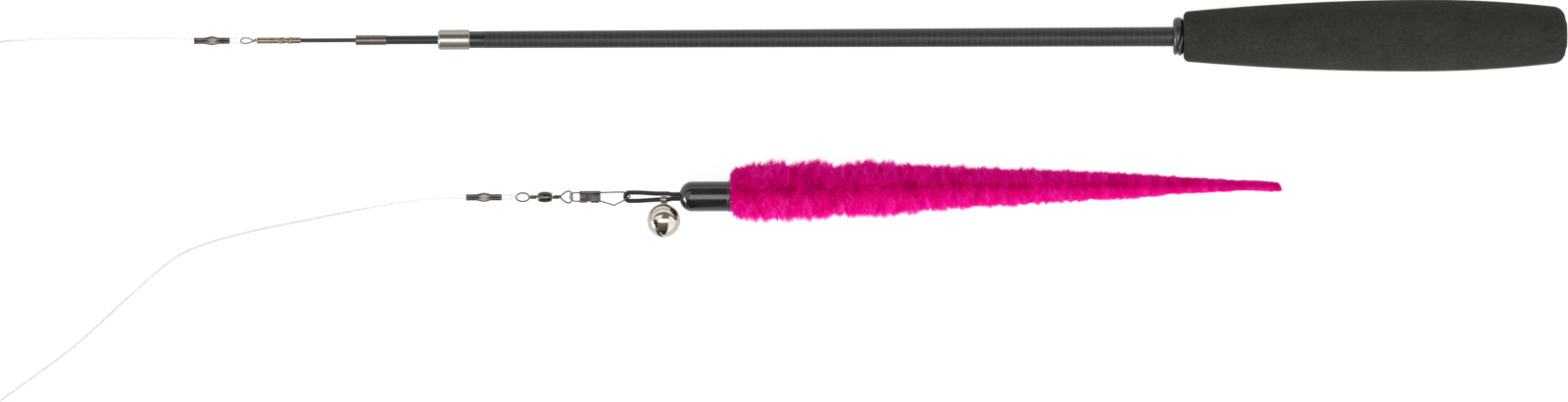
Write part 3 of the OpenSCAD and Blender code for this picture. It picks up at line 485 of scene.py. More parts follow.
# %% [markdown]
# A ferrule is a small round mirror, and in the photograph it shows the whole studio: white wall, dark room,
# a bright box just in front of the zenith, a dim stretch, and white table again. The ramp below runs over
# the angle from the zenith, from the back wall to the front. Two tall boxes stand at the sides, where the
# bell shows them, and a small lamp low at the left makes the spot on the cap's nose. Dull surfaces, and rays
# that have passed through clear nylon, see only a plain soft sky.

# %% The studio that shiny things reflect
BOX_STRENGTH, SKY_STRENGTH = 5.0, 1.5
EDGE_BEFORE, EDGE_PAST = 0.06, 0.2
LAMP_WAY, LAMP_EDGE, LAMP_COLOUR = (-0.93, -0.36, 0.07), (0.955, 0.975), (4.0, 4.0, 3.9, 1)


def band(degrees):
    return degrees / 360 + 0.5


world = put(bpy.data.worlds.new("studio"), use_nodes=True)
tree = world.node_tree
tree.nodes.clear()
way = coords(tree, "Generated")
heading = axes(way)
from_zenith = maths("ARCTAN2", maths("MULTIPLY", heading["Y"], -1.0), heading["Z"])
turned = maths("MULTIPLY_ADD", from_zenith, 1 / (2 * math.pi), 0.5)
room = ramp(turned, [
    (band(-110), "#7b7b7a"), (band(-100), "#9c9c9b"), (band(-68), "#a2a2a2"), (band(-60), "#474543"),
    (band(-15), "#454341"), (band(-8), "#e6e6e6"), (band(4), "#ffffff"), (band(18), "#ebebeb"),
    (band(28), "#7d7d7d"), (band(48), "#6c6b6a"), (band(66), "#52514f"), (band(90), "#4c4b49"),
    (band(100), "#757573")])


def past_edge(side, start, slope):
    """1 on the far side of a slanting edge between the dark middle of the room and a tall box."""
    reach = weighted((heading["X"], side), (heading["Y"], -slope))
    return remap(reach, start - EDGE_BEFORE, start + EDGE_PAST, kind="SMOOTHSTEP")


def mixed_colours(share, first, second):
    return add(tree, "ShaderNodeMix", {"Factor": share, "A": first, "B": second}, data_type="RGBA").outputs[2]


sideways = maths("MAXIMUM", past_edge(-1.0, 0.35, -0.45), past_edge(1.0, 0.42, 0.35))
tall_boxes = ramp(turned, [
    (band(-66), "#a6a6a6"), (band(-60), "#3a362f"), (band(-44), "#4c4840"), (band(-38), "#a6a6a6")])
low_lamp = add(tree, "ShaderNodeVectorMath", {0: way, 1: LAMP_WAY}, operation="DOT_PRODUCT").outputs["Value"]
near_lamp = remap(low_lamp, *LAMP_EDGE, kind="SMOOTHSTEP")
lit_room = mixed_colours(near_lamp, mixed_colours(sideways, room, tall_boxes), LAMP_COLOUR)
mirror_view = add(tree, "ShaderNodeBackground", {"Color": lit_room, "Strength": BOX_STRENGTH})
sky = ramp(heading["Z"], [(0.0, "#e4e4e4"), (0.35, "#c9c9c9"), (0.8, "#8c8c8c"), (1.0, "#6f6f6f")])
plain_view = add(tree, "ShaderNodeBackground", {"Color": sky, "Strength": SKY_STRENGTH})
rays = add(tree, "ShaderNodeLightPath").outputs
mirrored = maths("GREATER_THAN", maths("SUBTRACT", rays["Is Glossy Ray"], rays["Is Transmission Ray"]), 0.5)
add(tree, "ShaderNodeOutputWorld", {"Surface": mixed(mirrored, plain_view, mirror_view)})
bpy.context.scene.world = world
print("room:", len(tree.nodes), "nodes")

# %% [markdown]
# Long boxes light the dull surfaces. The front one is the stronger, as the lower sides of foam and plush are
# brighter in the photograph. Mirrors don't see the lamps, because the room above already holds their boxes.

# %% The lamps
def softbox(name, place, size, power):
    """A rectangular lamp that aims at the origin."""
    lamp = put(bpy.data.lights.new(name, "AREA"), shape="RECTANGLE", size=size[0] * MM, size_y=size[1] * MM,
               energy=power)
    put(linked(name, lamp), location=Vector(place) * MM, visible_glossy=False,
        rotation_euler=(-Vector(place)).to_track_quat("-Z", "Y").to_euler())


bpy.context.scene.view_settings.view_transform = "Standard"
softbox("long_box_front", (0, -1100, 800), (1600, 420), 26.0)
softbox("long_box_back", (0, 1000, 900), (1600, 300), 11.0)
softbox("end_box", (1200, -100, 700), (500, 500), 4.0)

# %% [markdown]
# In the photograph the bell shows a dark shape from its middle down to its rim, and the cap is black below
# its streak of light. Something dark stood close in front of them. A small black card plays that part here.
# It leans over the lure from the front, and only shiny things see it.

# %% The black card
bell_mid = middle_mm("bell_bottom")
CARD_REACH = 50.0
card_corners = [(-0.88, -0.06, 0.48), (0.48, -0.14, 0.86), (0.16, -0.98, -0.08), (-0.16, -0.98, -0.08),
                (0.08, -0.35, -0.095), (-0.08, -0.35, -0.095)]
card = make_mesh("black_card", [bell_mid + CARD_REACH * np.array(corner) for corner in card_corners],
                 [(0, 1, 2, 3), (3, 2, 4, 5)], smooth=False)
card_black, tree = material("black_card")
card_share = remap(axes(coords(tree))["Y"], (bell_mid[1] - CARD_REACH) * MM, bell_mid[1] * MM)
card_tone = ramp(card_share, [(0.0, "#1b1a18"), (0.3, "#3b3935"), (0.65, "#7d7b74"), (0.9, "#a5a39a")])
close(add(tree, "ShaderNodeEmission", {"Color": card_tone, "Strength": 1.0}))
give(card, card_black)
for ray in ("camera", "diffuse", "transmission", "volume_scatter", "shadow"):
    setattr(card, f"visible_{ray}", False)
print("card:", len(card_corners), "corners")

# %% [markdown]
# Clear nylon is drawn from melted polyamide. It has an index of refraction of 1.53 and a very smooth skin,
# and a trace of haze. On a white table almost nothing of it shows except two faint grey edges.

# %% Nylon
clear_nylon, tree = material("clear_nylon_monofilament")
close(skinned(tree, "#dde1e4", 0.12, ior=1.53, **{"Transmission Weight": 0.92}))
line_curve.materials.append(clear_nylon)

LOOP_STEPS, LOOP_SIDES = 8, 14
EYE_WIRE, LINK_GAP = 0.45, 0.1


def rolled(x, v, tilt):
    return (x, v * math.cos(math.radians(tilt)), v * math.sin(math.radians(tilt)))


def line_loop(name, crimp_x, axis_y, axis_z, eye_reach, half_width, tilt):
    """The loop that leaves a crimp's two bores, passes through an eye, and comes back."""
    reach = eye_reach + EYE_WIRE + LINK_GAP + LINE_D / 2

    def side(s):
        return [(-CRIMP_LEN / 2 + LINE_D, s * CRIMP_BORE_Y, 0), (-LINE_D, s * CRIMP_BORE_Y, 0),
                (LINE_D / 2, s * CRIMP_BORE_Y, 0),
                rolled((reach - half_width) / 2, s * (CRIMP_BORE_Y + half_width) / 2, tilt / 2),
                rolled(reach - half_width, s * half_width, tilt),
                rolled(reach - half_width * 0.3, s * half_width * 0.75, tilt)]
    path = smooth_path(side(1) + [(reach, 0, 0)] + side(-1)[::-1], LOOP_STEPS)
    return wire(name, path + (crimp_x, axis_y, axis_z), LINE_D, LOOP_SIDES)


tip_loop = dress(line_loop("tip_loop_of_line", tip_crimp_x, wand_y, wand_z, 2.9, 1.05, 32),
                 "tip_end", "nylon", ["tip_line_loop"], clear_nylon, edge=None)
lure_loop = dress(line_loop("swivel_loop_of_line", lure_crimp_x, lure_y, lure_z, 3.9, 0.95, 72),
                  "line_end", "nylon", ["lure_line_loop"], clear_nylon, edge=None)

# %% [markdown]
# Black acetal is moulded and has a dull skin. It makes the tie round the coil, and the plug and collars
# inside the tubes. The tie is a strap with rounded edges, so its CAD shape is copied, merged and bevelled.

# %% Moulded plastic, and the tie
dull_acetal, tree = material("moulded_black_acetal")
close(skinned(tree, "#1f2021", 0.5, grain(tree, 0.4, 0.01), ior=1.48))
coat(dull_acetal, "tube_plug", "middle_collar", "tip_collar")

tie = face_outwards(linked("coil_tie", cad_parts["line_tie"].data.copy()))
put(tie.modifiers.new("flat", "DECIMATE"), decimate_type="DISSOLVE", angle_limit=math.radians(1))
bevelled(tie, 0.15, 3, 30)
dress(tie, "tip_section", "dull_plastic", ["line_tie"], dull_acetal, edge=35)

# %% [markdown]
# ## The handle
# The grip is a tube of closed-cell EVA foam, ground to a long barrel shape and rounded at the butt. The
# grinding opens some cells, so the skin is dull and finely pitted, with hardly any gloss. It is turned on a
# lathe here, from the same outline as the CAD solid but with finer steps, so that its long curve shows no
# flats.

# %% The foam grip
GRIP_LEN, GRIP_R, BUTT_R, FRONT_R = 109.5, 10.25, 8.2, 7.1
BUTT_ROUND, FRONT_ROUND, BUTT_DOME, THICK_S = 3.8, 1.6, 0.4, GRIP_LEN * 0.375
BORE_R, BORE_END = 2.85, 5.0
round_s, front_s = BUTT_DOME + BUTT_ROUND, GRIP_LEN - FRONT_ROUND


def grip_radius(s):
    if s <= THICK_S:
        return GRIP_R - (GRIP_R - BUTT_R) * ((THICK_S - s) / (THICK_S - round_s)) ** 2
    return GRIP_R - (GRIP_R - FRONT_R) * ((s - THICK_S) / (GRIP_LEN - THICK_S)) ** 2


outline = [(0.0, 0.0), (0.0, 2.2), (0.02, 3.5)]
outline += arc((round_s, BUTT_R - BUTT_ROUND), (-BUTT_ROUND, BUTT_ROUND), 0, 90, 14)
outline += [(s, grip_radius(s)) for s in np.linspace(round_s, front_s, 90)[1:]]
outline += arc((front_s, grip_radius(front_s) - FRONT_ROUND), (FRONT_ROUND, FRONT_ROUND), 90, 0, 9)[1:]
outline += [(GRIP_LEN, BORE_R), (BORE_END, BORE_R), (BORE_END, 0.0)]
foam_grip = closed_mesh("foam_grip", *lathe(outline, 128, (butt_x, wand_y, wand_z), -1.0))

CELL, CLOUD, SPECK = 0.45, 6, 0.9
eva_foam, tree = material("ground_eva_foam")
place = coords(tree)
cells = add(tree, "ShaderNodeTexVoronoi", {"Vector": place, "Scale": 1 / (CELL * MM)}, feature="F1")
clouds = noise(tree, CLOUD, 5.0, place, 0.6)
foam_tone = weighted((clouds, 0.45), (noise(tree, SPECK, 3.0, place), 0.55))
foam_colour = ramp(foam_tone, [(0.3, "#1b1b19"), (0.5, "#242421"), (0.72, "#2d2d2a")])
pits = bump(cells.outputs["Distance"], 0.05, 0.6)
close(skinned(tree, foam_colour, 0.92, bump(clouds, 0.12, 0.5, Normal=pits), ior=1.48, gloss=0.2))
dress(foam_grip, "handle", "foam", ["grip"], eva_foam, edge=40)

# %% [markdown]
# A rubber ring covers the step between the grip and the tube. It is a cord of nitrile rubber, laid double,
# so a groove runs slanting over its front half, from the edge at the grip to the middle. It is turned from a
# full-round outline, and the groove is then pressed in.

# %% The rubber ring
RING_HUB, RING_EDGE, GROOVE_DEPTH, GROOVE_W, GROOVE_TOP, GROOVE_SLANT = 2.845, 1.3425, 0.6, 0.12, 0.82, 0.4
ring_low, ring_high = box_mm("grip_ring")
ring_r, ring_w = (ring_high[1] - ring_low[1]) / 2, ring_high[0] - ring_low[0]


def reshaped(points, push):
    """Moves points away from the wand's axis, or towards it, by what push says for a place and radius."""
    for p in points:
        y, z = p[1] - wand_y, p[2] - wand_z
        r = math.hypot(y, z)
        grown = (r + push(p[0], r, y, z)) / r
        p[1:] = wand_y + y * grown, wand_z + z * grown


def groove_push(x, r, y, z):
    if r <= RING_HUB + 0.5:
        return 0.0
    middle = GROOVE_TOP - GROOVE_SLANT * eased((0.05 - y / ring_r) / 0.9)
    deep = GROOVE_DEPTH * eased((0.3 - y / ring_r) / 0.35) * (r - RING_HUB) / (ring_r - RING_HUB)
    return -deep * math.exp(-(((x - ring_low[0]) / ring_w - middle) / GROOVE_W) ** 2)


ring_outline = [(0.0, RING_HUB), *arc((RING_EDGE, ring_r - RING_EDGE), (-RING_EDGE, RING_EDGE), 0, 90, 12),
                *arc((ring_w - RING_EDGE, ring_r - RING_EDGE), (RING_EDGE, RING_EDGE), 90, 0, 12),
                (ring_w, RING_HUB), (0.0, RING_HUB)]
points, faces = lathe(ring_outline, 144, (ring_low[0], wand_y, wand_z))
reshaped(points, groove_push)
ring = closed_mesh("rubber_ring", points, faces)

nitrile, tree = material("moulded_nitrile_rubber")
close(skinned(tree, "#131313", 0.3, grain(tree, 0.8, 0.01), ior=1.52))
dress(ring, "handle", "ring_rubber", ["grip_ring"], nitrile, edge=60)

# %% [markdown]
# ## The rods
# The tubes are dark glass-fibre rod, drawn with epoxy round a mandrel under a shrink tape. The tape leaves
# faint rings a little over a millimetre and a half apart, and a thin lacquer lies on top. The last 4 mm
# behind the outer ferrule was dipped in gloss black. The pattern follows X, the wand's own direction, so it
# needs no map.

# %% Glass fibre
TAPE_PITCH, DIP_START, DIP_LEN = 1.65, -1.0, 4.4
ferrule_rear_x = box_mm("outer_ferrule")[1][0]


def glass_fibre(name, dark, light, tape_depth, dipped):
    made, tree = material(name)
    place = coords(tree)
    x = axes(place)["X"]
    turn = weighted((x, 2 * math.pi / (TAPE_PITCH * MM)), (noise(tree, 9, 2.0, place), 5.0))
    ridge = maths("MULTIPLY_ADD", maths("SINE", turn), 0.5, 0.5)
    squeezed = add(tree, "ShaderNodeMapping", {"Vector": place, "Scale": (0.02, 1, 1)})
    tone = weighted((ridge, 0.25), (noise(tree, 0.25, 4.0, squeezed), 0.3),
                    (noise(tree, 2.2, 3.0, place), 0.45))
    shader = skinned(tree, ramp(tone, [(0.3, dark), (0.7, light)]), 0.37, bump(ridge, tape_depth),
                     ior=1.54, gloss=0.32)
    if dipped:
        inside = maths("MULTIPLY", maths("GREATER_THAN", x, (ferrule_rear_x + DIP_START) * MM),
                       maths("LESS_THAN", x, (ferrule_rear_x + DIP_LEN) * MM))
        shader = mixed(inside, shader, skinned(tree, "#121314", 0.16))
    close(shader)
    return made


coat(glass_fibre("lacquered_glass_fibre", "#111213", "#232527", 0.012, True), "outer_tube")
coat(glass_fibre("black_glass_fibre", "#0d0d0d", "#161616", 0.004, False), "middle_tube", "tip_rod")
print("dipped band ends at x =", round(ferrule_rear_x + DIP_LEN, 1), "mm")

# %% [markdown]
# ## Plated metal
# Ferrules and bell are nickel on brass: bright, slightly yellow, with faint polishing marks. The tip's
# sleeve and wire are duller. Crimps, swivel and snap carry black nickel, a thin dark plate. They are one
# recipe with other colours. A metal has no colour of its own beyond the tint of its reflection, so the room
# does most of the work.

# %% Nickel finishes
STAIN = 1.7


def plated(name, colour, dark, roughness, mark_mm, mark_depth, worn=0.3):
    made, tree = material(name)
    place = coords(tree)
    stains = noise(tree, STAIN, 4.0, place)
    wear = remap(stains, 0.3, 0.7, roughness * (1 - worn), roughness * (1 + worn))
    close(skinned(tree, ramp(stains, [(0.35, dark), (0.6, colour)]), wear,
                        grain(tree, mark_mm, mark_depth, place), Metallic=1.0))
    return made


bright_nickel = plated("bright_nickel_on_brass", "#bcb7ac", "#ada79b", 0.07, 1.5, 0.002)
ferrule_nickel = plated("turned_nickel_on_brass", "#8e8b84", "#8a877f", 0.22, 2.0, 0.0001, 0.06)
inner_nickel = plated("worn_nickel_on_brass", "#625f5a", "#5c5954", 0.26, 2.0, 0.0001, 0.06)
warm_nickel = plated("drawn_nickel_silver", "#7f7564", "#6c6252", 0.27, 1.2, 0.001)
strap_nickel = plated("stamped_nickel_strap", "#857d71", "#6d655a", 0.14, 0.8, 0.002)
black_nickel = plated("black_nickel_plate", "#57514b", "#3f3a36", 0.1, 0.9, 0.001)
# A paler nickel, a painted highlight for the flat web of the snap's clasp.
painted_highlight_nickel = plated("nickel_with_painted_highlight", "#a19ba3", "#86808a", 0.16, 0.9, 0.001)
coat(ferrule_nickel, "outer_ferrule")
coat(inner_nickel, "middle_ferrule")
coat(bright_nickel, "bell_top", "bell_bottom", "bell_pea")
coat(strap_nickel, "bell_strap")
print("metals: 7 finishes")

# %% [markdown]
# ## The tip
# A drawn sleeve is squeezed on the tip of the rod, and the pliers leave slanting dents round it. It is a
# lathe shape whose radius is pulled in and out by a slanting wave over a short stretch.

# %% The crimped sleeve
SLEEVE_R, SLEEVE_LEN, SLEEVE_BORE, NOSE, NOSE_BORE = 0.875, 12.6, 0.62, 0.7, 0.286
FOLDS_FROM, FOLDS_TO, FOLDS_FADE = 2.2, 7.2, 0.6
DENT, DENT_TURN, RIPPLE, RIPPLE_TURN = 0.11, 2.6, 0.05, 5.2
sleeve_back = tip_x + SLEEVE_LEN


def fold_push(x, r, y, z):
    s = sleeve_back - x
    if r <= SLEEVE_BORE + 0.1 or not FOLDS_FROM < s < FOLDS_TO:
        return 0.0
    fade = math.sin(math.pi * (s - FOLDS_FROM) / (FOLDS_TO - FOLDS_FROM)) ** FOLDS_FADE
    a = math.atan2(z, y)
    return fade * (DENT * math.sin(2 * a + s * DENT_TURN) + RIPPLE * math.sin(s * RIPPLE_TURN + a))


sleeve_outline = [(0.0, SLEEVE_BORE), (0.0, SLEEVE_R - 0.06), (0.06, SLEEVE_R)]
sleeve_outline += [(s, SLEEVE_R) for s in np.linspace(0.2, SLEEVE_LEN - 0.3, 96)]
sleeve_outline += [
    (SLEEVE_LEN - 0.15, SLEEVE_R - 0.03), (SLEEVE_LEN, SLEEVE_R - 0.16), (SLEEVE_LEN, NOSE_BORE),
    (SLEEVE_LEN - NOSE, NOSE_BORE), (SLEEVE_LEN - NOSE, SLEEVE_BORE), (0.0, SLEEVE_BORE)]
points, faces = lathe(sleeve_outline, 48, (sleeve_back, wand_y, wand_z), -1.0)
reshaped(points, fold_push)
dress(closed_mesh("crimped_tip_sleeve", points, faces),
      "tip_section", "warm_nickel", ["tip_sleeve"], warm_nickel)

# %% [markdown]
# ## Wire eyes
# Each eye is a wire bent to a drop, with its end wound round its own shank. The winding is a shape that
# repeats along an axis, so Geometry Nodes make it: a spiral curve gets a round section, with the wire's
# thickness, the number of turns and the length as inputs. The drop is a swept path.

# %% A node tree for wound wire
def node_tree(name, wanted):
    """An empty tree with (name, kind, default) inputs; returns it with its input sockets."""
    tree = bpy.data.node_groups.new(name, "GeometryNodeTree")
    tree.interface.new_socket(name="Geometry", in_out="OUTPUT", socket_type="NodeSocketGeometry")
    for label, kind, *default in wanted:
        made = tree.interface.new_socket(name=label, in_out="INPUT", socket_type="NodeSocket" + kind)
        if default:
            made.default_value = default[0]
    return tree, add(tree, "NodeGroupInput").outputs


def finish_tree(tree, geometry, dye):
    """Makes the instances real, gives them their material, and closes the tree."""
    real = add(tree, "GeometryNodeRealizeInstances", {"Geometry": geometry})
    done = add(tree, "GeometryNodeSetMaterial", {"Geometry": real, "Material": dye})
    add(tree, "NodeGroupOutput", {"Geometry": done})


def run_tree(tree, name, values, base=None):
    """Runs a node tree on an object and returns the result as a plain mesh object."""
    obj = linked(name, base or bpy.data.meshes.new(name))
    modifier = put(obj.modifiers.new("made", "NODES"), node_group=tree)
    for item in tree.interface.items_tree:
        if item.in_out == "INPUT" and item.name in values:
            modifier[item.identifier] = values[item.name]
    return applied(obj)


winding, given = node_tree("wound_wire", [
    ("Turns", "Float", 3.0), ("Radius", "Float", 0.4 * MM), ("Length", "Float", 1.5 * MM),
    ("Wire", "Float", EYE_WIRE * MM), ("Finish", "Material")])
spiral = add(winding, "GeometryNodeCurveSpiral", {
    "Resolution": 40, "Rotations": given["Turns"], "Start Radius": given["Radius"],
    "End Radius": given["Radius"], "Height": given["Length"]})
section = add(winding, "GeometryNodeCurvePrimitiveCircle", {
    "Resolution": 14, "Radius": maths("MULTIPLY", given["Wire"], 0.5)})
tube = add(winding, "GeometryNodeCurveToMesh", {
    "Curve": spiral, "Profile Curve": section, "Fill Caps": True})
finish_tree(winding, tube, given["Finish"])
print("winding:", len(winding.nodes), "nodes")

# %% [markdown]
# An eye is put together at the origin, from its drop, its shank, the head that the wall traps and its
# winding. Then it is turned to its side and moved to the wall.

# %% The eyes of the tip and of the swivel
WIRE_GAP, HEAD_T, HEAD_EDGE, HEAD_IN = 0.06, 0.45, 0.05, 0.08


def wire_eye(name, origin, direction, wall, twist, eye_len, eye_w, waist, tilt, head_r, finish):
    """An eye on a shank that turns in a wall; origin is on the wall's outer face, in millimetres."""
    long_r, wide_r = (eye_len - EYE_WIRE / 2) / 2, (eye_w - EYE_WIRE) / 2
    root = WIRE_GAP + twist
    drop = [rolled(root + long_r * (1 - math.cos(a)), wide_r * math.sin(a) * (1 - waist * math.cos(a)), tilt)
            for a in np.radians(np.linspace(9, 351, 56))]
    head = -wall - WIRE_GAP
    head_xs = (head - HEAD_T, head - HEAD_T + HEAD_EDGE, head - HEAD_EDGE, head)
    parts = [swept(drop, EYE_WIRE / 2, 14, (1, 0, 0)),
             swept([(head, 0, 0), (root + EYE_WIRE / 2, 0, 0)], EYE_WIRE / 2, 14),
             swept([(x, 0, 0) for x in head_xs], [head_r - HEAD_IN, head_r, head_r, head_r - HEAD_IN], 24)]
    eye = make_mesh(name, *joined(parts))
    wraps = run_tree(winding, name + "_wraps", {
        "Turns": float(math.floor(twist / EYE_WIRE - 0.5)), "Radius": EYE_WIRE * 0.85 * MM,
        "Length": (twist - EYE_WIRE) * MM, "Wire": EYE_WIRE * MM, "Finish": finish})
    wraps.data.transform(Matrix.Translation(((WIRE_GAP + EYE_WIRE / 2) * MM, 0, 0))
                         @ Matrix.Rotation(math.pi / 2, 4, "Y"))
    work = bmesh.new()
    work.from_mesh(eye.data)
    work.from_mesh(wraps.data)
    work.to_mesh(eye.data)
    work.free()
    bpy.data.objects.remove(wraps)
    turn = Matrix.Rotation(0 if direction > 0 else math.pi, 4, "Z")
    eye.data.transform(Matrix.Translation(Vector(origin) * MM) @ turn)
    return eye


barrel_left_x, barrel_right_x = (side[0] for side in box_mm("swivel_barrel"))
dress(wire_eye("tip_wire_eye", (tip_x, wand_y, wand_z), -1, 0.7, 1.1, 3.6, 2.9, 0.2, 50, 0.5, warm_nickel),
      "tip_end", "warm_nickel", ["tip_eye"], warm_nickel)
dress(wire_eye("swivel_eye_line_side", (barrel_left_x, lure_y, lure_z), -1, 0.6, 2.3, 4.0, 2.9, 0.0, 8, 0.7,
               black_nickel), "line_end", "black_nickel", ["swivel_line_eye"], black_nickel)
dress(wire_eye("swivel_eye_snap_side", (barrel_right_x, lure_y, lure_z), 1, 0.6, 2.3, 3.6, 3.7, 0.5, 20, 0.7,
               black_nickel), "tip_section", "black_nickel", ["swivel_snap_eye"], black_nickel)

# %% [markdown]
# The barrel is an olive, spun from sheet, with a small rolled lip at each end that traps the heads of the
# eyes.

# %% The swivel's barrel
BARREL_LEN, BARREL_R, BARREL_HOLE, BARREL_IN, BARREL_WALL = 4.2, 1.55, 0.285, 0.76, 0.6
mouth_r = BARREL_R * 0.54
olive = [(0.0, BARREL_HOLE)]
for t in np.linspace(-1, 1, 41):
    lip = 0.05 * math.exp(-((abs(t) - 0.86) / 0.05) ** 2)
    belly_r = mouth_r + (BARREL_R - mouth_r) * math.sqrt(max(1 - t * t, 0))
    olive.append((BARREL_LEN / 2 * (1 + t), belly_r - lip))
olive += [
    (BARREL_LEN, BARREL_HOLE), (BARREL_LEN - BARREL_WALL, BARREL_HOLE), (BARREL_LEN - BARREL_WALL, BARREL_IN),
    (BARREL_WALL, BARREL_IN), (BARREL_WALL, BARREL_HOLE), (0.0, BARREL_HOLE)]
dress(closed_mesh("swivel_olive", *lathe(olive, 64, (barrel_left_x, lure_y, lure_z))),
      "barrel", "black_nickel", ["swivel_barrel"], black_nickel)

# %% [markdown]
# ## Crimp sleeves
# A crimp is a double tube of soft copper alloy. Both strands of line run through it, and pliers press its
# middle wide and flat, which leaves a bright facet. Its section changes along its length from a figure of
# eight to a flat oval, so it is skinned from rings whose outline is worked out for each place.

# %% The crimps
CRIMP_R, PRESS_W, PRESS_T, PRESS_LEN, CRIMP_SIDES, CRIMP_LIP = 0.53, 2.6, 0.96, 4.6, 40, 0.08
FLARE, FLARE_LEN, WAIST, END_SHARE = 0.05, 0.8, 0.30, 0.93
half_crimp, lobes_r = CRIMP_LEN / 2, CRIMP_BORE_Y + CRIMP_R


def crimp_ring(x):
    pressed = max(0.0, math.cos(math.pi * x / PRESS_LEN)) ** 2 if abs(x) < PRESS_LEN / 2 else 0.0
    wide = lobes_r * (1 - pressed) + PRESS_W / 2 * pressed
    flare = 1 + FLARE * max(0.0, (abs(x) - half_crimp + FLARE_LEN) / FLARE_LEN)
    ring = []
    for k, a in enumerate(circle(CRIMP_SIDES)):
        y = math.cos(a)
        lobe = math.sqrt(max(CRIMP_R ** 2 - (abs(y) * lobes_r - CRIMP_BORE_Y) ** 2, 0.0))
        lobe = max(lobe, WAIST) if abs(y) < 0.5 else lobe
        flat = PRESS_T / 2 * (1 - abs(y) ** 4) ** 0.25 * (0.86 + 0.14 * y * y)
        high = (lobe * (1 - pressed) + flat * pressed) * flare
        z = math.copysign(high, math.sin(a)) if k % (CRIMP_SIDES // 2) else 0.0
        ring.append((x, y * wide * flare, z))
    return ring


def crimp(name, end_x, axis_y, axis_z, body, node):
    xs = [-half_crimp, CRIMP_LIP - half_crimp, *np.linspace(0.3 - half_crimp, half_crimp - 0.3, 61),
          half_crimp - CRIMP_LIP, half_crimp]
    rings = [np.array(crimp_ring(x)) for x in xs]
    for ring in (rings[0], rings[-1]):
        ring[:, 1:] *= END_SHARE
    points = np.concatenate(rings) + (end_x - half_crimp, axis_y, axis_z)
    return dress(closed_mesh(name, points, skin(len(xs), CRIMP_SIDES)),
                 body, "black_nickel", [node], black_nickel)


tip_crimp = crimp("crimp_at_tip", tip_crimp_x, wand_y, wand_z, "tip_end", "tip_crimp")
lure_crimp = crimp("crimp_at_swivel", lure_crimp_x, lure_y, lure_z, "line_end", "lure_crimp")

# %% [markdown]

# %% [markdown]
# ## The snap
# The safety snap is one springy wire and a folded sheet clasp. The wire goes round the swivel's eye, out
# along a straight leg and round through the elastic, and its other end, the arm, rests in the clasp's open
# hook. Its points repeat those of the CAD part, with finer steps and a round section.

# %% The snap's wire and arm
SNAP_WIRE, SNAP_W, SNAP_TILT, CLASP_U, CLASP_LEN = 0.4, 2.8, 30, 2.7, 6.0
SNAP_LEN, KNEE_OUT, WIRE_SIDES = 17.0, 1.0, 16
ELASTIC_D, ELASTIC_R, ELASTIC_REACH, ELASTIC_LIFT = 1.3, 1.2, 15.4, 0.1
leg_v = SNAP_W / 2
link_x = cap_front_x - ELASTIC_REACH
bend_x = link_x + ELASTIC_R
snap_x = bend_x - SNAP_LEN
elastic_z = ELASTIC_LIFT + SNAP_WIRE + LINK_GAP + ELASTIC_D / 2
cap_z = middle_mm("lure_cap")[2]
pitch = math.atan2(cap_z - elastic_z, ELASTIC_REACH)
link_step = ELASTIC_D / 2 + LINK_GAP + SNAP_WIRE / 2
under_z = elastic_z - link_step
over_z = elastic_z + link_step + ELASTIC_R * math.sin(pitch)
tilt = math.radians(SNAP_TILT)


def on_snap(u, v):
    return (snap_x + u, lure_y + v * math.cos(tilt), lure_z - v * math.sin(tilt))


arm_pivot = np.array((bend_x - SNAP_WIRE * 1.6, lure_y - SNAP_WIRE * 0.8, over_z))
ring_points = [on_snap(u, v) for u, v in arc((leg_v, 0), (leg_v, leg_v), 270, 90, 25)]
bend_points = smooth_path([
    on_snap(CLASP_U + CLASP_LEN + SNAP_WIRE, leg_v),
    (link_x - ELASTIC_R * 1.6, lure_y + leg_v * 0.96, under_z + (lure_z - under_z) * 0.1),
    (link_x, lure_y + leg_v * 0.86, under_z),
    (link_x + ELASTIC_R * 0.6, lure_y + leg_v * 0.55, under_z + SNAP_WIRE * 0.3),
    (bend_x + SNAP_WIRE * 0.2, lure_y + SNAP_WIRE * 0.3, elastic_z),
    (bend_x + SNAP_WIRE * 0.2, lure_y - SNAP_WIRE * 0.3, elastic_z + (over_z - elastic_z) * 0.55),
    (bend_x - SNAP_WIRE * 0.5, lure_y - SNAP_WIRE * 0.7, over_z - SNAP_WIRE * 0.2),
    arm_pivot + (SNAP_WIRE / 2, 0, 0)], 8)
snap_path = [on_snap(CLASP_U + CLASP_LEN * 0.35, -leg_v), on_snap(CLASP_U, -leg_v), *ring_points,
             on_snap(CLASP_U, leg_v), *bend_points]
dress(wire("snap_spring_wire", snap_path, SNAP_WIRE, WIRE_SIDES),
      "snap", "black_nickel", ["snap_wire"], black_nickel)

hook_u, hook_len = CLASP_U + CLASP_LEN * 0.55, CLASP_LEN * 0.38
knee = np.array((arm_pivot[0] - SNAP_LEN * 0.18, lure_y - leg_v - KNEE_OUT, arm_pivot[2]))
seat = np.array(on_snap(hook_u + hook_len, -leg_v))
corner = [knee + (0.0, SNAP_WIRE, 0.0), knee - (SNAP_WIRE * 2, 0, 0)]
knee_tip = knee - (SNAP_WIRE * 0.5, 0, 0)
round_knee = [corner[0] * (1 - t) ** 2 + 2 * t * (1 - t) * knee_tip + corner[1] * t ** 2
              for t in np.linspace(0, 1, 7)]
arm_path = [arm_pivot, (arm_pivot + knee) / 2, *round_knee, seat + (SNAP_WIRE, 0, 0), seat,
            on_snap(hook_u, -leg_v)]
dress(wire("snap_spring_arm", arm_path, SNAP_WIRE, WIRE_SIDES),
      "arm", "black_nickel", ["snap_arm"], black_nickel)

# %% [markdown]
# The clasp is stamped from thin sheet and folded. Each fold is a profile across the snap that runs straight
# along it, so it is drawn as a line of the sheet's middle, given its thickness on both sides, and pulled
# out.

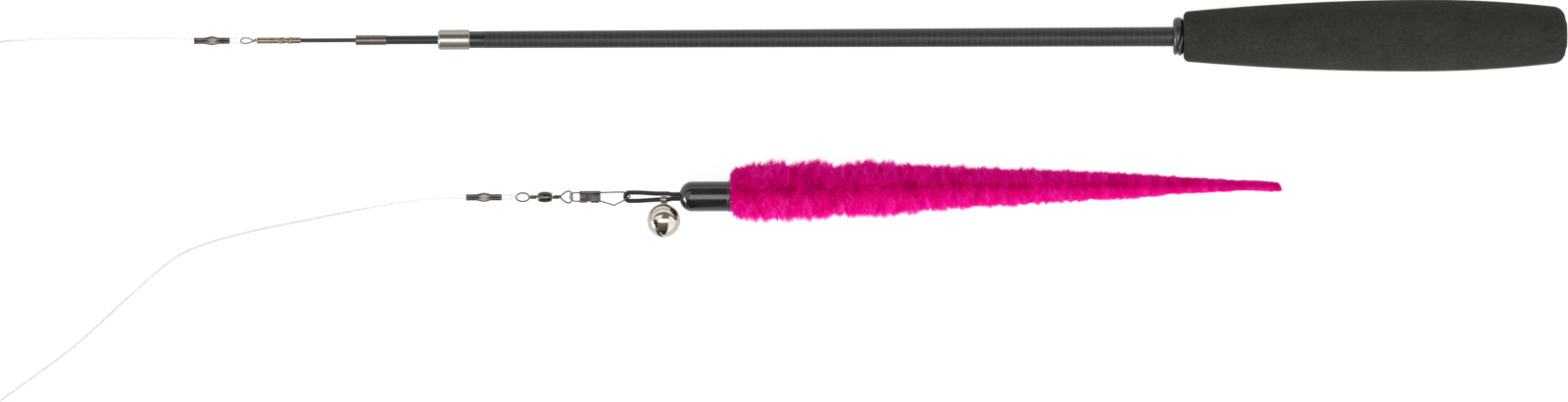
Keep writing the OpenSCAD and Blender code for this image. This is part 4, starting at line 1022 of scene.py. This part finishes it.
# %% The snap's clasp
SHEET, FOLD_ROOM, HOOK_ROOM = 0.25, 0.02, 0.06


def folded_sheet(middle_line, u0, u1):
    """A strip whose section follows (v, w) points, from u0 to u1 along the snap."""
    p = np.asarray(middle_line, float)
    heads = [unit(p[min(i + 1, len(p) - 1)] - p[max(i - 1, 0)]) for i in range(len(p))]
    normals = np.array([(-d[1], d[0]) for d in heads]) * SHEET / 2
    loop = np.concatenate([p + normals, (p - normals)[::-1]])
    n = len(loop)
    points = [(u, v, w) for u in (u0, u1) for v, w in loop]
    faces = [(k, (k + 1) % n, n + (k + 1) % n, n + k) for k in range(n)]
    faces += [(start + i, start + i + 1, start + n - 2 - i, start + n - 1 - i)
              for start in (0, n) for i in range(len(p) - 1)]
    return points, faces


def fold(v, room, start, end, count=14):
    """The sheet's middle line where it is bent round a wire at v, with room between them."""
    r = SNAP_WIRE / 2 + room + SHEET / 2
    return arc((v, 0), (r, r), start, end, count)


closed_fold = fold(leg_v, FOLD_ROOM, -90, 215)
web_w = closed_fold[0][1]
parts = [folded_sheet([(-leg_v, web_w), (0.0, web_w)] + closed_fold, CLASP_U, CLASP_U + CLASP_LEN),
         folded_sheet(fold(-leg_v, FOLD_ROOM, 270, -35), CLASP_U, CLASP_U + CLASP_LEN * 0.35),
         folded_sheet(fold(-leg_v, HOOK_ROOM, 270, 150), hook_u, hook_u + hook_len),
         folded_sheet(fold(-leg_v, HOOK_ROOM, -90, 0, 8), hook_u, hook_u + hook_len)]
clasp = make_mesh("snap_sheet_clasp", *joined(parts))
give(clasp, painted_highlight_nickel, black_nickel)
# The flat web between the wires gets the paler nickel, a painted highlight; the folds round the wires keep
# black nickel.
for face in clasp.data.polygons:
    face.material_index = int(abs(face.center.y / MM) > leg_v * 0.8 or face.center.z > 0)
clasp.data.transform(Matrix.Translation(Vector((snap_x, lure_y, lure_z)) * MM)
                     @ Matrix.Rotation(-tilt, 4, "X"))
dress(bevelled(face_outwards(clasp), 0.05, 2, 50), "snap", "black_nickel", ["snap_clasp"])

# %% [markdown]
# ## The elastic loop
# A round elastic cord has a rubber heart in a sleeve of braided black yarn. The two strands lie side by side
# where they enter the cap and open to a loop that hangs on the snap. The tube's own UV map runs in
# millimetres along the cord and once round it, so two crossing sets of ridges in that map make the braid.

# %% The elastic loop
BELL_BACK, STRAP_W, STRAP_T, STRAP_GAP, KNOT_IN = 11.5, 1.7, 0.25, 0.06, 2.2
BRAID_DIP = 0.06  # the sleeve dips between its yarns, so its middle surface lies this far inside
slant = ELASTIC_REACH / math.cos(pitch)
cord_r = (ELASTIC_D - BRAID_DIP) / 2
strand_in = cord_r + 0.01
strap_v = ELASTIC_D / 2 + (STRAP_GAP + STRAP_T + LINK_GAP) / 2
strap_near, strap_far = (BELL_BACK + side * (STRAP_W / 2 + STRAP_GAP) for side in (-1, 1))


def strand_v(u):
    """Half the room between the strands: wide at the loop, steady where the bell's strap goes round one."""
    if u > strap_near:
        return strap_v + (strand_in - strap_v) * eased((u - strap_far) / 1.3)
    return strap_v + (ELASTIC_R - strap_v) * eased((strap_near - u) / (strap_near - 2 * ELASTIC_R))


def on_elastic(u, v):
    return (link_x + u * math.cos(pitch), lure_y + v, elastic_z + u * math.sin(pitch))


stops = [slant + KNOT_IN, *np.linspace(slant, 2 * ELASTIC_R, 34)]
loop_points = [on_elastic(u, strand_v(u)) for u in stops]
loop_points += [on_elastic(u, v) for u, v in arc((ELASTIC_R, 0), (ELASTIC_R, ELASTIC_R), 90, 270, 25)]
loop_points += [on_elastic(u, -strand_v(u)) for u in stops[::-1]]
elastic = make_mesh("elastic_cord_loop", *swept(smooth_path(loop_points, 3), cord_r, 28))

YARN_PITCH, YARNS = 1.1, 8
braid, tree = material("braided_elastic_yarn")
uv = axes(add(tree, "ShaderNodeUVMap", uv_map="along"))
along = maths("MULTIPLY", uv["X"], 2 * math.pi / YARN_PITCH)
around = maths("MULTIPLY", uv["Y"], math.pi * YARNS)
weave = maths("MAXIMUM", *(maths("SINE", maths(way, along, around)) for way in ("ADD", "SUBTRACT")))
# The dips between the yarns are painted darker than their crowns, as painted shade.
braid_painted_shade = ramp(weave, [(0.0, "#0b0b0b"), (1.0, "#191918")])
close(skinned(tree, braid_painted_shade, 0.6, bump(weave, 0.05, 0.8), gloss=0.25))
coat(braid, "elastic_knot")
dress(elastic, "lure", "black_cord", ["elastic_loop"], braid, edge=60)

# %% [markdown]
# ## The cap
# The cap is moulded in glossy black styrene with a domed nose, where the elastic comes out, and a thin lip
# at its rim. It is turned from its outline. Light handling leaves the gloss slightly uneven.

# %% The cap
CAP_R, CAP_WALL, CAP_NOSE, CAP_HOLE, CAP_LIP = 4.3, 1.0, 3.7, 1.42, 0.15


def nose(r, depth, shift, steps):
    return arc((depth + shift, 0), (-depth, r), math.degrees(math.asin(CAP_HOLE / r)), 90, steps)


outer = nose(CAP_R, CAP_NOSE, 0.0, 28)
inner = nose(CAP_R - CAP_WALL, CAP_NOSE - CAP_WALL / 2, CAP_WALL, 14)
rim = [(CAP_LEN - 0.85, CAP_R), (CAP_LEN - 0.75, CAP_R + 0.12), (CAP_LEN - 0.65, CAP_R + CAP_LIP),
       (CAP_LEN - 0.1, CAP_R + CAP_LIP), (CAP_LEN, CAP_R + 0.05), (CAP_LEN, CAP_R - CAP_WALL)]
lure_cap = closed_mesh("moulded_lure_cap", *lathe(outer + rim + inner[::-1] + [outer[0]], 96,
                                                  (cap_front_x, lure_y, cap_z)))

gloss_styrene, tree = material("moulded_gloss_styrene")
place = coords(tree)
shine = remap(noise(tree, 2.5, 3.0, place), 0.35, 0.65, 0.13, 0.24)
close(skinned(tree, "#0d0d0e", shine, grain(tree, 1.2, 0.006, place), ior=1.55))
dress(lure_cap, "lure", "black_plastic", ["lure_cap"], gloss_styrene)

# %% [markdown]
# ## The plush tail
# The tail is a cord wrapped in dense polyester pile, long at the cap and shorn close at the thin end. Its
# backing is a lumpy core skinned from rings, set in by most of the pile's length. Geometry Nodes scatter
# points on it and plant a tapered fibre on each, which leans with its neighbours, so that the pile falls in
# tufts. A tuft that stands out is longer and painted paler, as painted light, and the parting along the top
# is painted darker, as painted shade. Real fibres are 0.03 mm thick. These are about four times as thick,
# so that about 91,000 of them cover.

# %% The backing of the plush
TAIL_LEN, TAIL_D, LOW_SHARE = 158.0, 17.4, 0.3
TAIL_SIDES, PARTING, PAINTED_PARTING_W, END_SLANT = 72, 0.08, 0.24, 0.45
PILE_MAX, PILE_SHARE, SET_IN, UNDER_SHORN = 3.2, 0.36, 0.75, 0.45
tail_shares = [  # place along the tail, width and sideways sway, as shares of TAIL_LEN, TAIL_D and TAIL_D
    [0, 0.47, 0.04], [0.006, 0.66, 0.06], [0.016, 0.85, 0.07], [0.05, 0.985, 0.075], [0.09, 1, 0.078],
    [0.12, 0.95, 0.08], [0.155, 0.99, 0.1], [0.197, 0.86, 0.085], [0.24, 0.94, 0.115], [0.288, 0.89, 0.105],
    [0.34, 0.81, 0.117], [0.39, 0.735, 0.13], [0.44, 0.68, 0.13], [0.5, 0.64, 0.13], [0.56, 0.58, 0.14],
    [0.65, 0.49, 0.143], [0.71, 0.44, 0.14], [0.765, 0.36, 0.144], [0.82, 0.285, 0.15], [0.88, 0.225, 0.14],
    [0.935, 0.17, 0.14], [0.985, 0.17, 0.12], [1, 0.12, 0.12]]
tail_rows = smooth_path(tail_shares, 8)
points, rows = [], []
for share, width, sway in tail_rows:
    r = width * TAIL_D / 2
    low = max(min(cap_z, width * TAIL_D * LOW_SHARE + r * 0.25), r * 0.55)
    length = min(PILE_MAX, r * PILE_SHARE)
    core = (r - SET_IN * length) / r + 0.14 * max(0.0, 1 - share / 0.03)
    x, y = cap_x + 0.05 + share * TAIL_LEN, lure_y + sway * TAIL_D
    x += 0.9 if share < 0.004 else -0.5 if share > 0.996 else 0.0
    for a in circle(TAIL_SIDES):
        across, up = math.cos(a), math.sin(a)
        cut_back = END_SLANT * max(0.0, (share - 0.97) / 0.03) * (1 + across)
        points.append((x - cut_back, y + r * core * across, low + core * up * (r if up > 0 else low)))
        # The last value marks the parting on the upper side, for the painted shade there.
        rows.append((length * (1 - UNDER_SHORN * max(0.0, -up)), PILE_MAX / length,
                     math.tanh(2.5 * (across - PARTING)),
                     math.exp(-((across - PARTING) / PAINTED_PARTING_W) ** 2) * max(0.0, up)))
backing = make_mesh("plush_backing", points, skin(len(tail_rows), TAIL_SIDES))
for name, values in zip(("pile_mm", "crowding", "comb", "parted"), zip(*rows)):
    backing.data.attributes.new(name, "FLOAT", "POINT").data.foreach_set("value", values)
face_outwards(backing)

pink_backing, tree = material("knitted_polyester_backing")
close(skinned(tree, "#d80078", 0.9, grain(tree, 0.6, 0.1), gloss=0.1))
coat(pink_backing, "tail_core")
dress(backing, "lure", "plush", ["tail_plush"], pink_backing, edge=None)

# %% [markdown]
# The fibre is a three-sided needle, bent a little, and a millimetre long before it is scaled. It carries a
# value that runs from 0 at its root to 1 at its tip. Each planted fibre then gets a shade: a random part for
# the dye, plus painted light on a standing tuft and painted shade along the parting.

# %% One fibre
FIBRE_W, FIBRE_BEND = 0.065, 0.34
points, tips = [], []
for z, wide, lean in ((0.0, 1.0, 0.0), (0.55, 0.8, 0.1)):
    for a in circle(3):
        points.append((FIBRE_W * wide * math.cos(a) + lean, FIBRE_W * wide * math.sin(a), z))
        tips.append(z)
faces = [(k, (k + 1) % 3, 3 + (k + 1) % 3, 3 + k) for k in range(3)]
faces += [(3 + k, 3 + (k + 1) % 3, 6) for k in range(3)]
fibre = make_mesh("fibre", points + [(FIBRE_BEND, 0.0, 1.0)], faces)
fibre.data.attributes.new("tip", "FLOAT", "POINT").data.foreach_set("value", tips + [1.0])
print("fibre:", len(faces), "faces")

# %% [markdown]
# The node tree plants a fibre on each scattered point. Its inputs say how many fibres stand on a square metre,
# how wide a tuft is and how far it leans, and which way the pile is combed and lies. The seed starts the
# random draws, so each piece of pile is another crop from the same backing.

# %% A node tree for pile
pile_tree, given = node_tree("plush_pile", [
    ("Backing", "Geometry"), ("Fibre", "Object"), ("Fibres per m2", "Float", 1.0e6),
    ("Tuft size", "Float", 3.0 * MM), ("Tuft lean", "Float", 1.0), ("Comb", "Float", 0.8),
    ("Lay", "Vector", (0.2, 0.0, 0.0)), ("Seed", "Int", 1), ("Dye", "Material")])


def named(name):
    return add(pile_tree, "GeometryNodeInputNamedAttribute", {"Name": name},
               data_type="FLOAT").outputs["Attribute"]


def chance(low, high, seed):
    """A random number for each fibre."""
    return add(pile_tree, "FunctionNodeRandomValue", {2: low, 3: high, "Seed": seed},
               data_type="FLOAT").outputs[1]


def vectors(operation, a, b):
    inputs = {0: a, "Scale" if operation == "SCALE" else 1: b}
    return add(pile_tree, "ShaderNodeVectorMath", inputs, operation=operation)


density = maths("MULTIPLY", given["Fibres per m2"], named("crowding"))
scattered = add(pile_tree, "GeometryNodeDistributePointsOnFaces", {
    "Mesh": given["Backing"], "Density": density, "Seed": given["Seed"]}).outputs
crossways = vectors("MULTIPLY", add(pile_tree, "GeometryNodeInputPosition"), (1.0, 0.35, 0.35))
tufts = add(pile_tree, "ShaderNodeTexNoise", {
    "Vector": crossways, "Scale": maths("DIVIDE", 1.0, given["Tuft size"]), "Detail": 2.0}).outputs
strays = add(pile_tree, "FunctionNodeRandomValue", {
    "Min": (-0.3, -0.3, -0.3), "Max": (0.3, 0.3, 0.3), "Seed": given["Seed"]}, data_type="FLOAT_VECTOR")
tuft_lean = vectors("SCALE", vectors("SUBTRACT", tufts["Color"], (0.5, 0.5, 0.5)),
                    maths("MULTIPLY", given["Tuft lean"], 4.0))
combed = add(pile_tree, "ShaderNodeCombineXYZ", {"Y": maths("MULTIPLY", named("comb"), given["Comb"])})
lean = vectors("ADD", vectors("ADD", scattered["Normal"], tuft_lean), vectors("ADD", given["Lay"], strays))
lean = vectors("ADD", lean, combed)
turned = add(pile_tree, "FunctionNodeAlignRotationToVector", {"Vector": lean}, axis="Z")
spun = add(pile_tree, "FunctionNodeAxisAngleToRotation", {
    "Axis": (0, 0, 1), "Angle": chance(0.0, 6.283, given["Seed"])})
rotation = add(pile_tree, "FunctionNodeRotateRotation", {"Rotation": turned, "Rotate By": spun},
               rotation_space="LOCAL")
swell = remap(tufts["Fac"], 0.35, 0.65, 0.6, 1.2)
long = maths("MULTIPLY", maths("MULTIPLY", named("pile_mm"), chance(0.65, 1.1, 7)), swell)
scale = add(pile_tree, "ShaderNodeCombineXYZ", {"X": 1.0, "Y": 1.0, "Z": long})
needle = add(pile_tree, "GeometryNodeObjectInfo", {"Object": given["Fibre"], "As Instance": False})
planted = add(pile_tree, "GeometryNodeInstanceOnPoints", {
    "Points": scattered["Points"], "Instance": needle.outputs["Geometry"], "Rotation": rotation,
    "Scale": scale})
# A fibre's shade: a random part for the dye, plus painted light that makes a standing tuft paler, less painted
# shade along the parting.
shade = maths("ADD", chance(0.0, 0.4, 3), remap(tufts["Fac"], 0.4, 0.62, -0.1, 0.6))
shade = maths("SUBTRACT", shade, maths("MULTIPLY", named("parted"), 0.55))
dyed = add(pile_tree, "GeometryNodeStoreNamedAttribute", {
    "Geometry": planted, "Name": "shade", "Value": shade}, data_type="FLOAT", domain="INSTANCE")
finish_tree(pile_tree, dyed, given["Dye"])
print("pile:", len(pile_tree.nodes), "nodes")

# %% [markdown]
# Hot-pink polyester is dyed through, but the pile looks dark between the tufts, where light is lost, and
# pale at the tips, which are thin and let light through. So the colour is painted from root to tip: painted
# shade at the roots and painted light at the tips, on top of a share of real translucency. Soft clouds of
# painted light and shade, a few millimetres wide, lie over it.

# %% The dye with painted light and shade, and the pile
PILE_PIECES, PILE_DENSITY, TUFT_SIZE, PAINTED_SHADE_CLOUD, THROUGH_SHARE = 6, 2.4e6, 1.5, 5, 0.4
LOWEST, FURTHEST_FRONT = 0.00003, (cap_x - 1.2) * MM  # no fibre goes into the table, or further over the cap

pink_pile, tree = material("dyed_pile_with_painted_light")
tip_value, dye_and_light_value = (add(tree, "ShaderNodeAttribute", attribute_name=name).outputs["Fac"]
                          for name in ("tip", "shade"))
# The clouds are painted light and shade; the tip value paints the roots dark and the tips pale.
clouds = noise(tree, PAINTED_SHADE_CLOUD, 4.0, roughness=0.6)
tone = weighted((tip_value, 0.45), (dye_and_light_value, 0.4), (clouds, 0.35))
pile_colour = ramp(tone, [(0.1, "#a60048"), (0.4, "#fa009c"), (0.75, "#ff0cc0"), (1.0, "#ff5cd6")])
through = add(tree, "ShaderNodeBsdfTranslucent", {"Color": pile_colour})
close(mixed(THROUGH_SHARE, skinned(tree, pile_colour, 0.6, gloss=0.08), through))

for piece in range(1, PILE_PIECES + 1):
    pile = run_tree(pile_tree, f"plush_pile_{piece}", {
        "Fibre": fibre, "Fibres per m2": PILE_DENSITY, "Tuft size": TUFT_SIZE * MM, "Tuft lean": 1.0,
        "Comb": 0.9, "Lay": (0.18, 0.0, 0.0), "Seed": piece, "Dye": pink_pile}, backing.data.copy())
    places = np.empty(len(pile.data.vertices) * 3)
    pile.data.vertices.foreach_get("co", places)
    places[0::3] = np.maximum(places[0::3], FURTHEST_FRONT)
    places[2::3] = np.maximum(places[2::3], LOWEST)
    pile.data.vertices.foreach_set("co", places)
    pile.data.update()
    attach(pile, "lure")
    print(pile.name, sum(len(face.vertices) - 2 for face in pile.data.polygons), "triangles")
bpy.data.objects.remove(fibre)
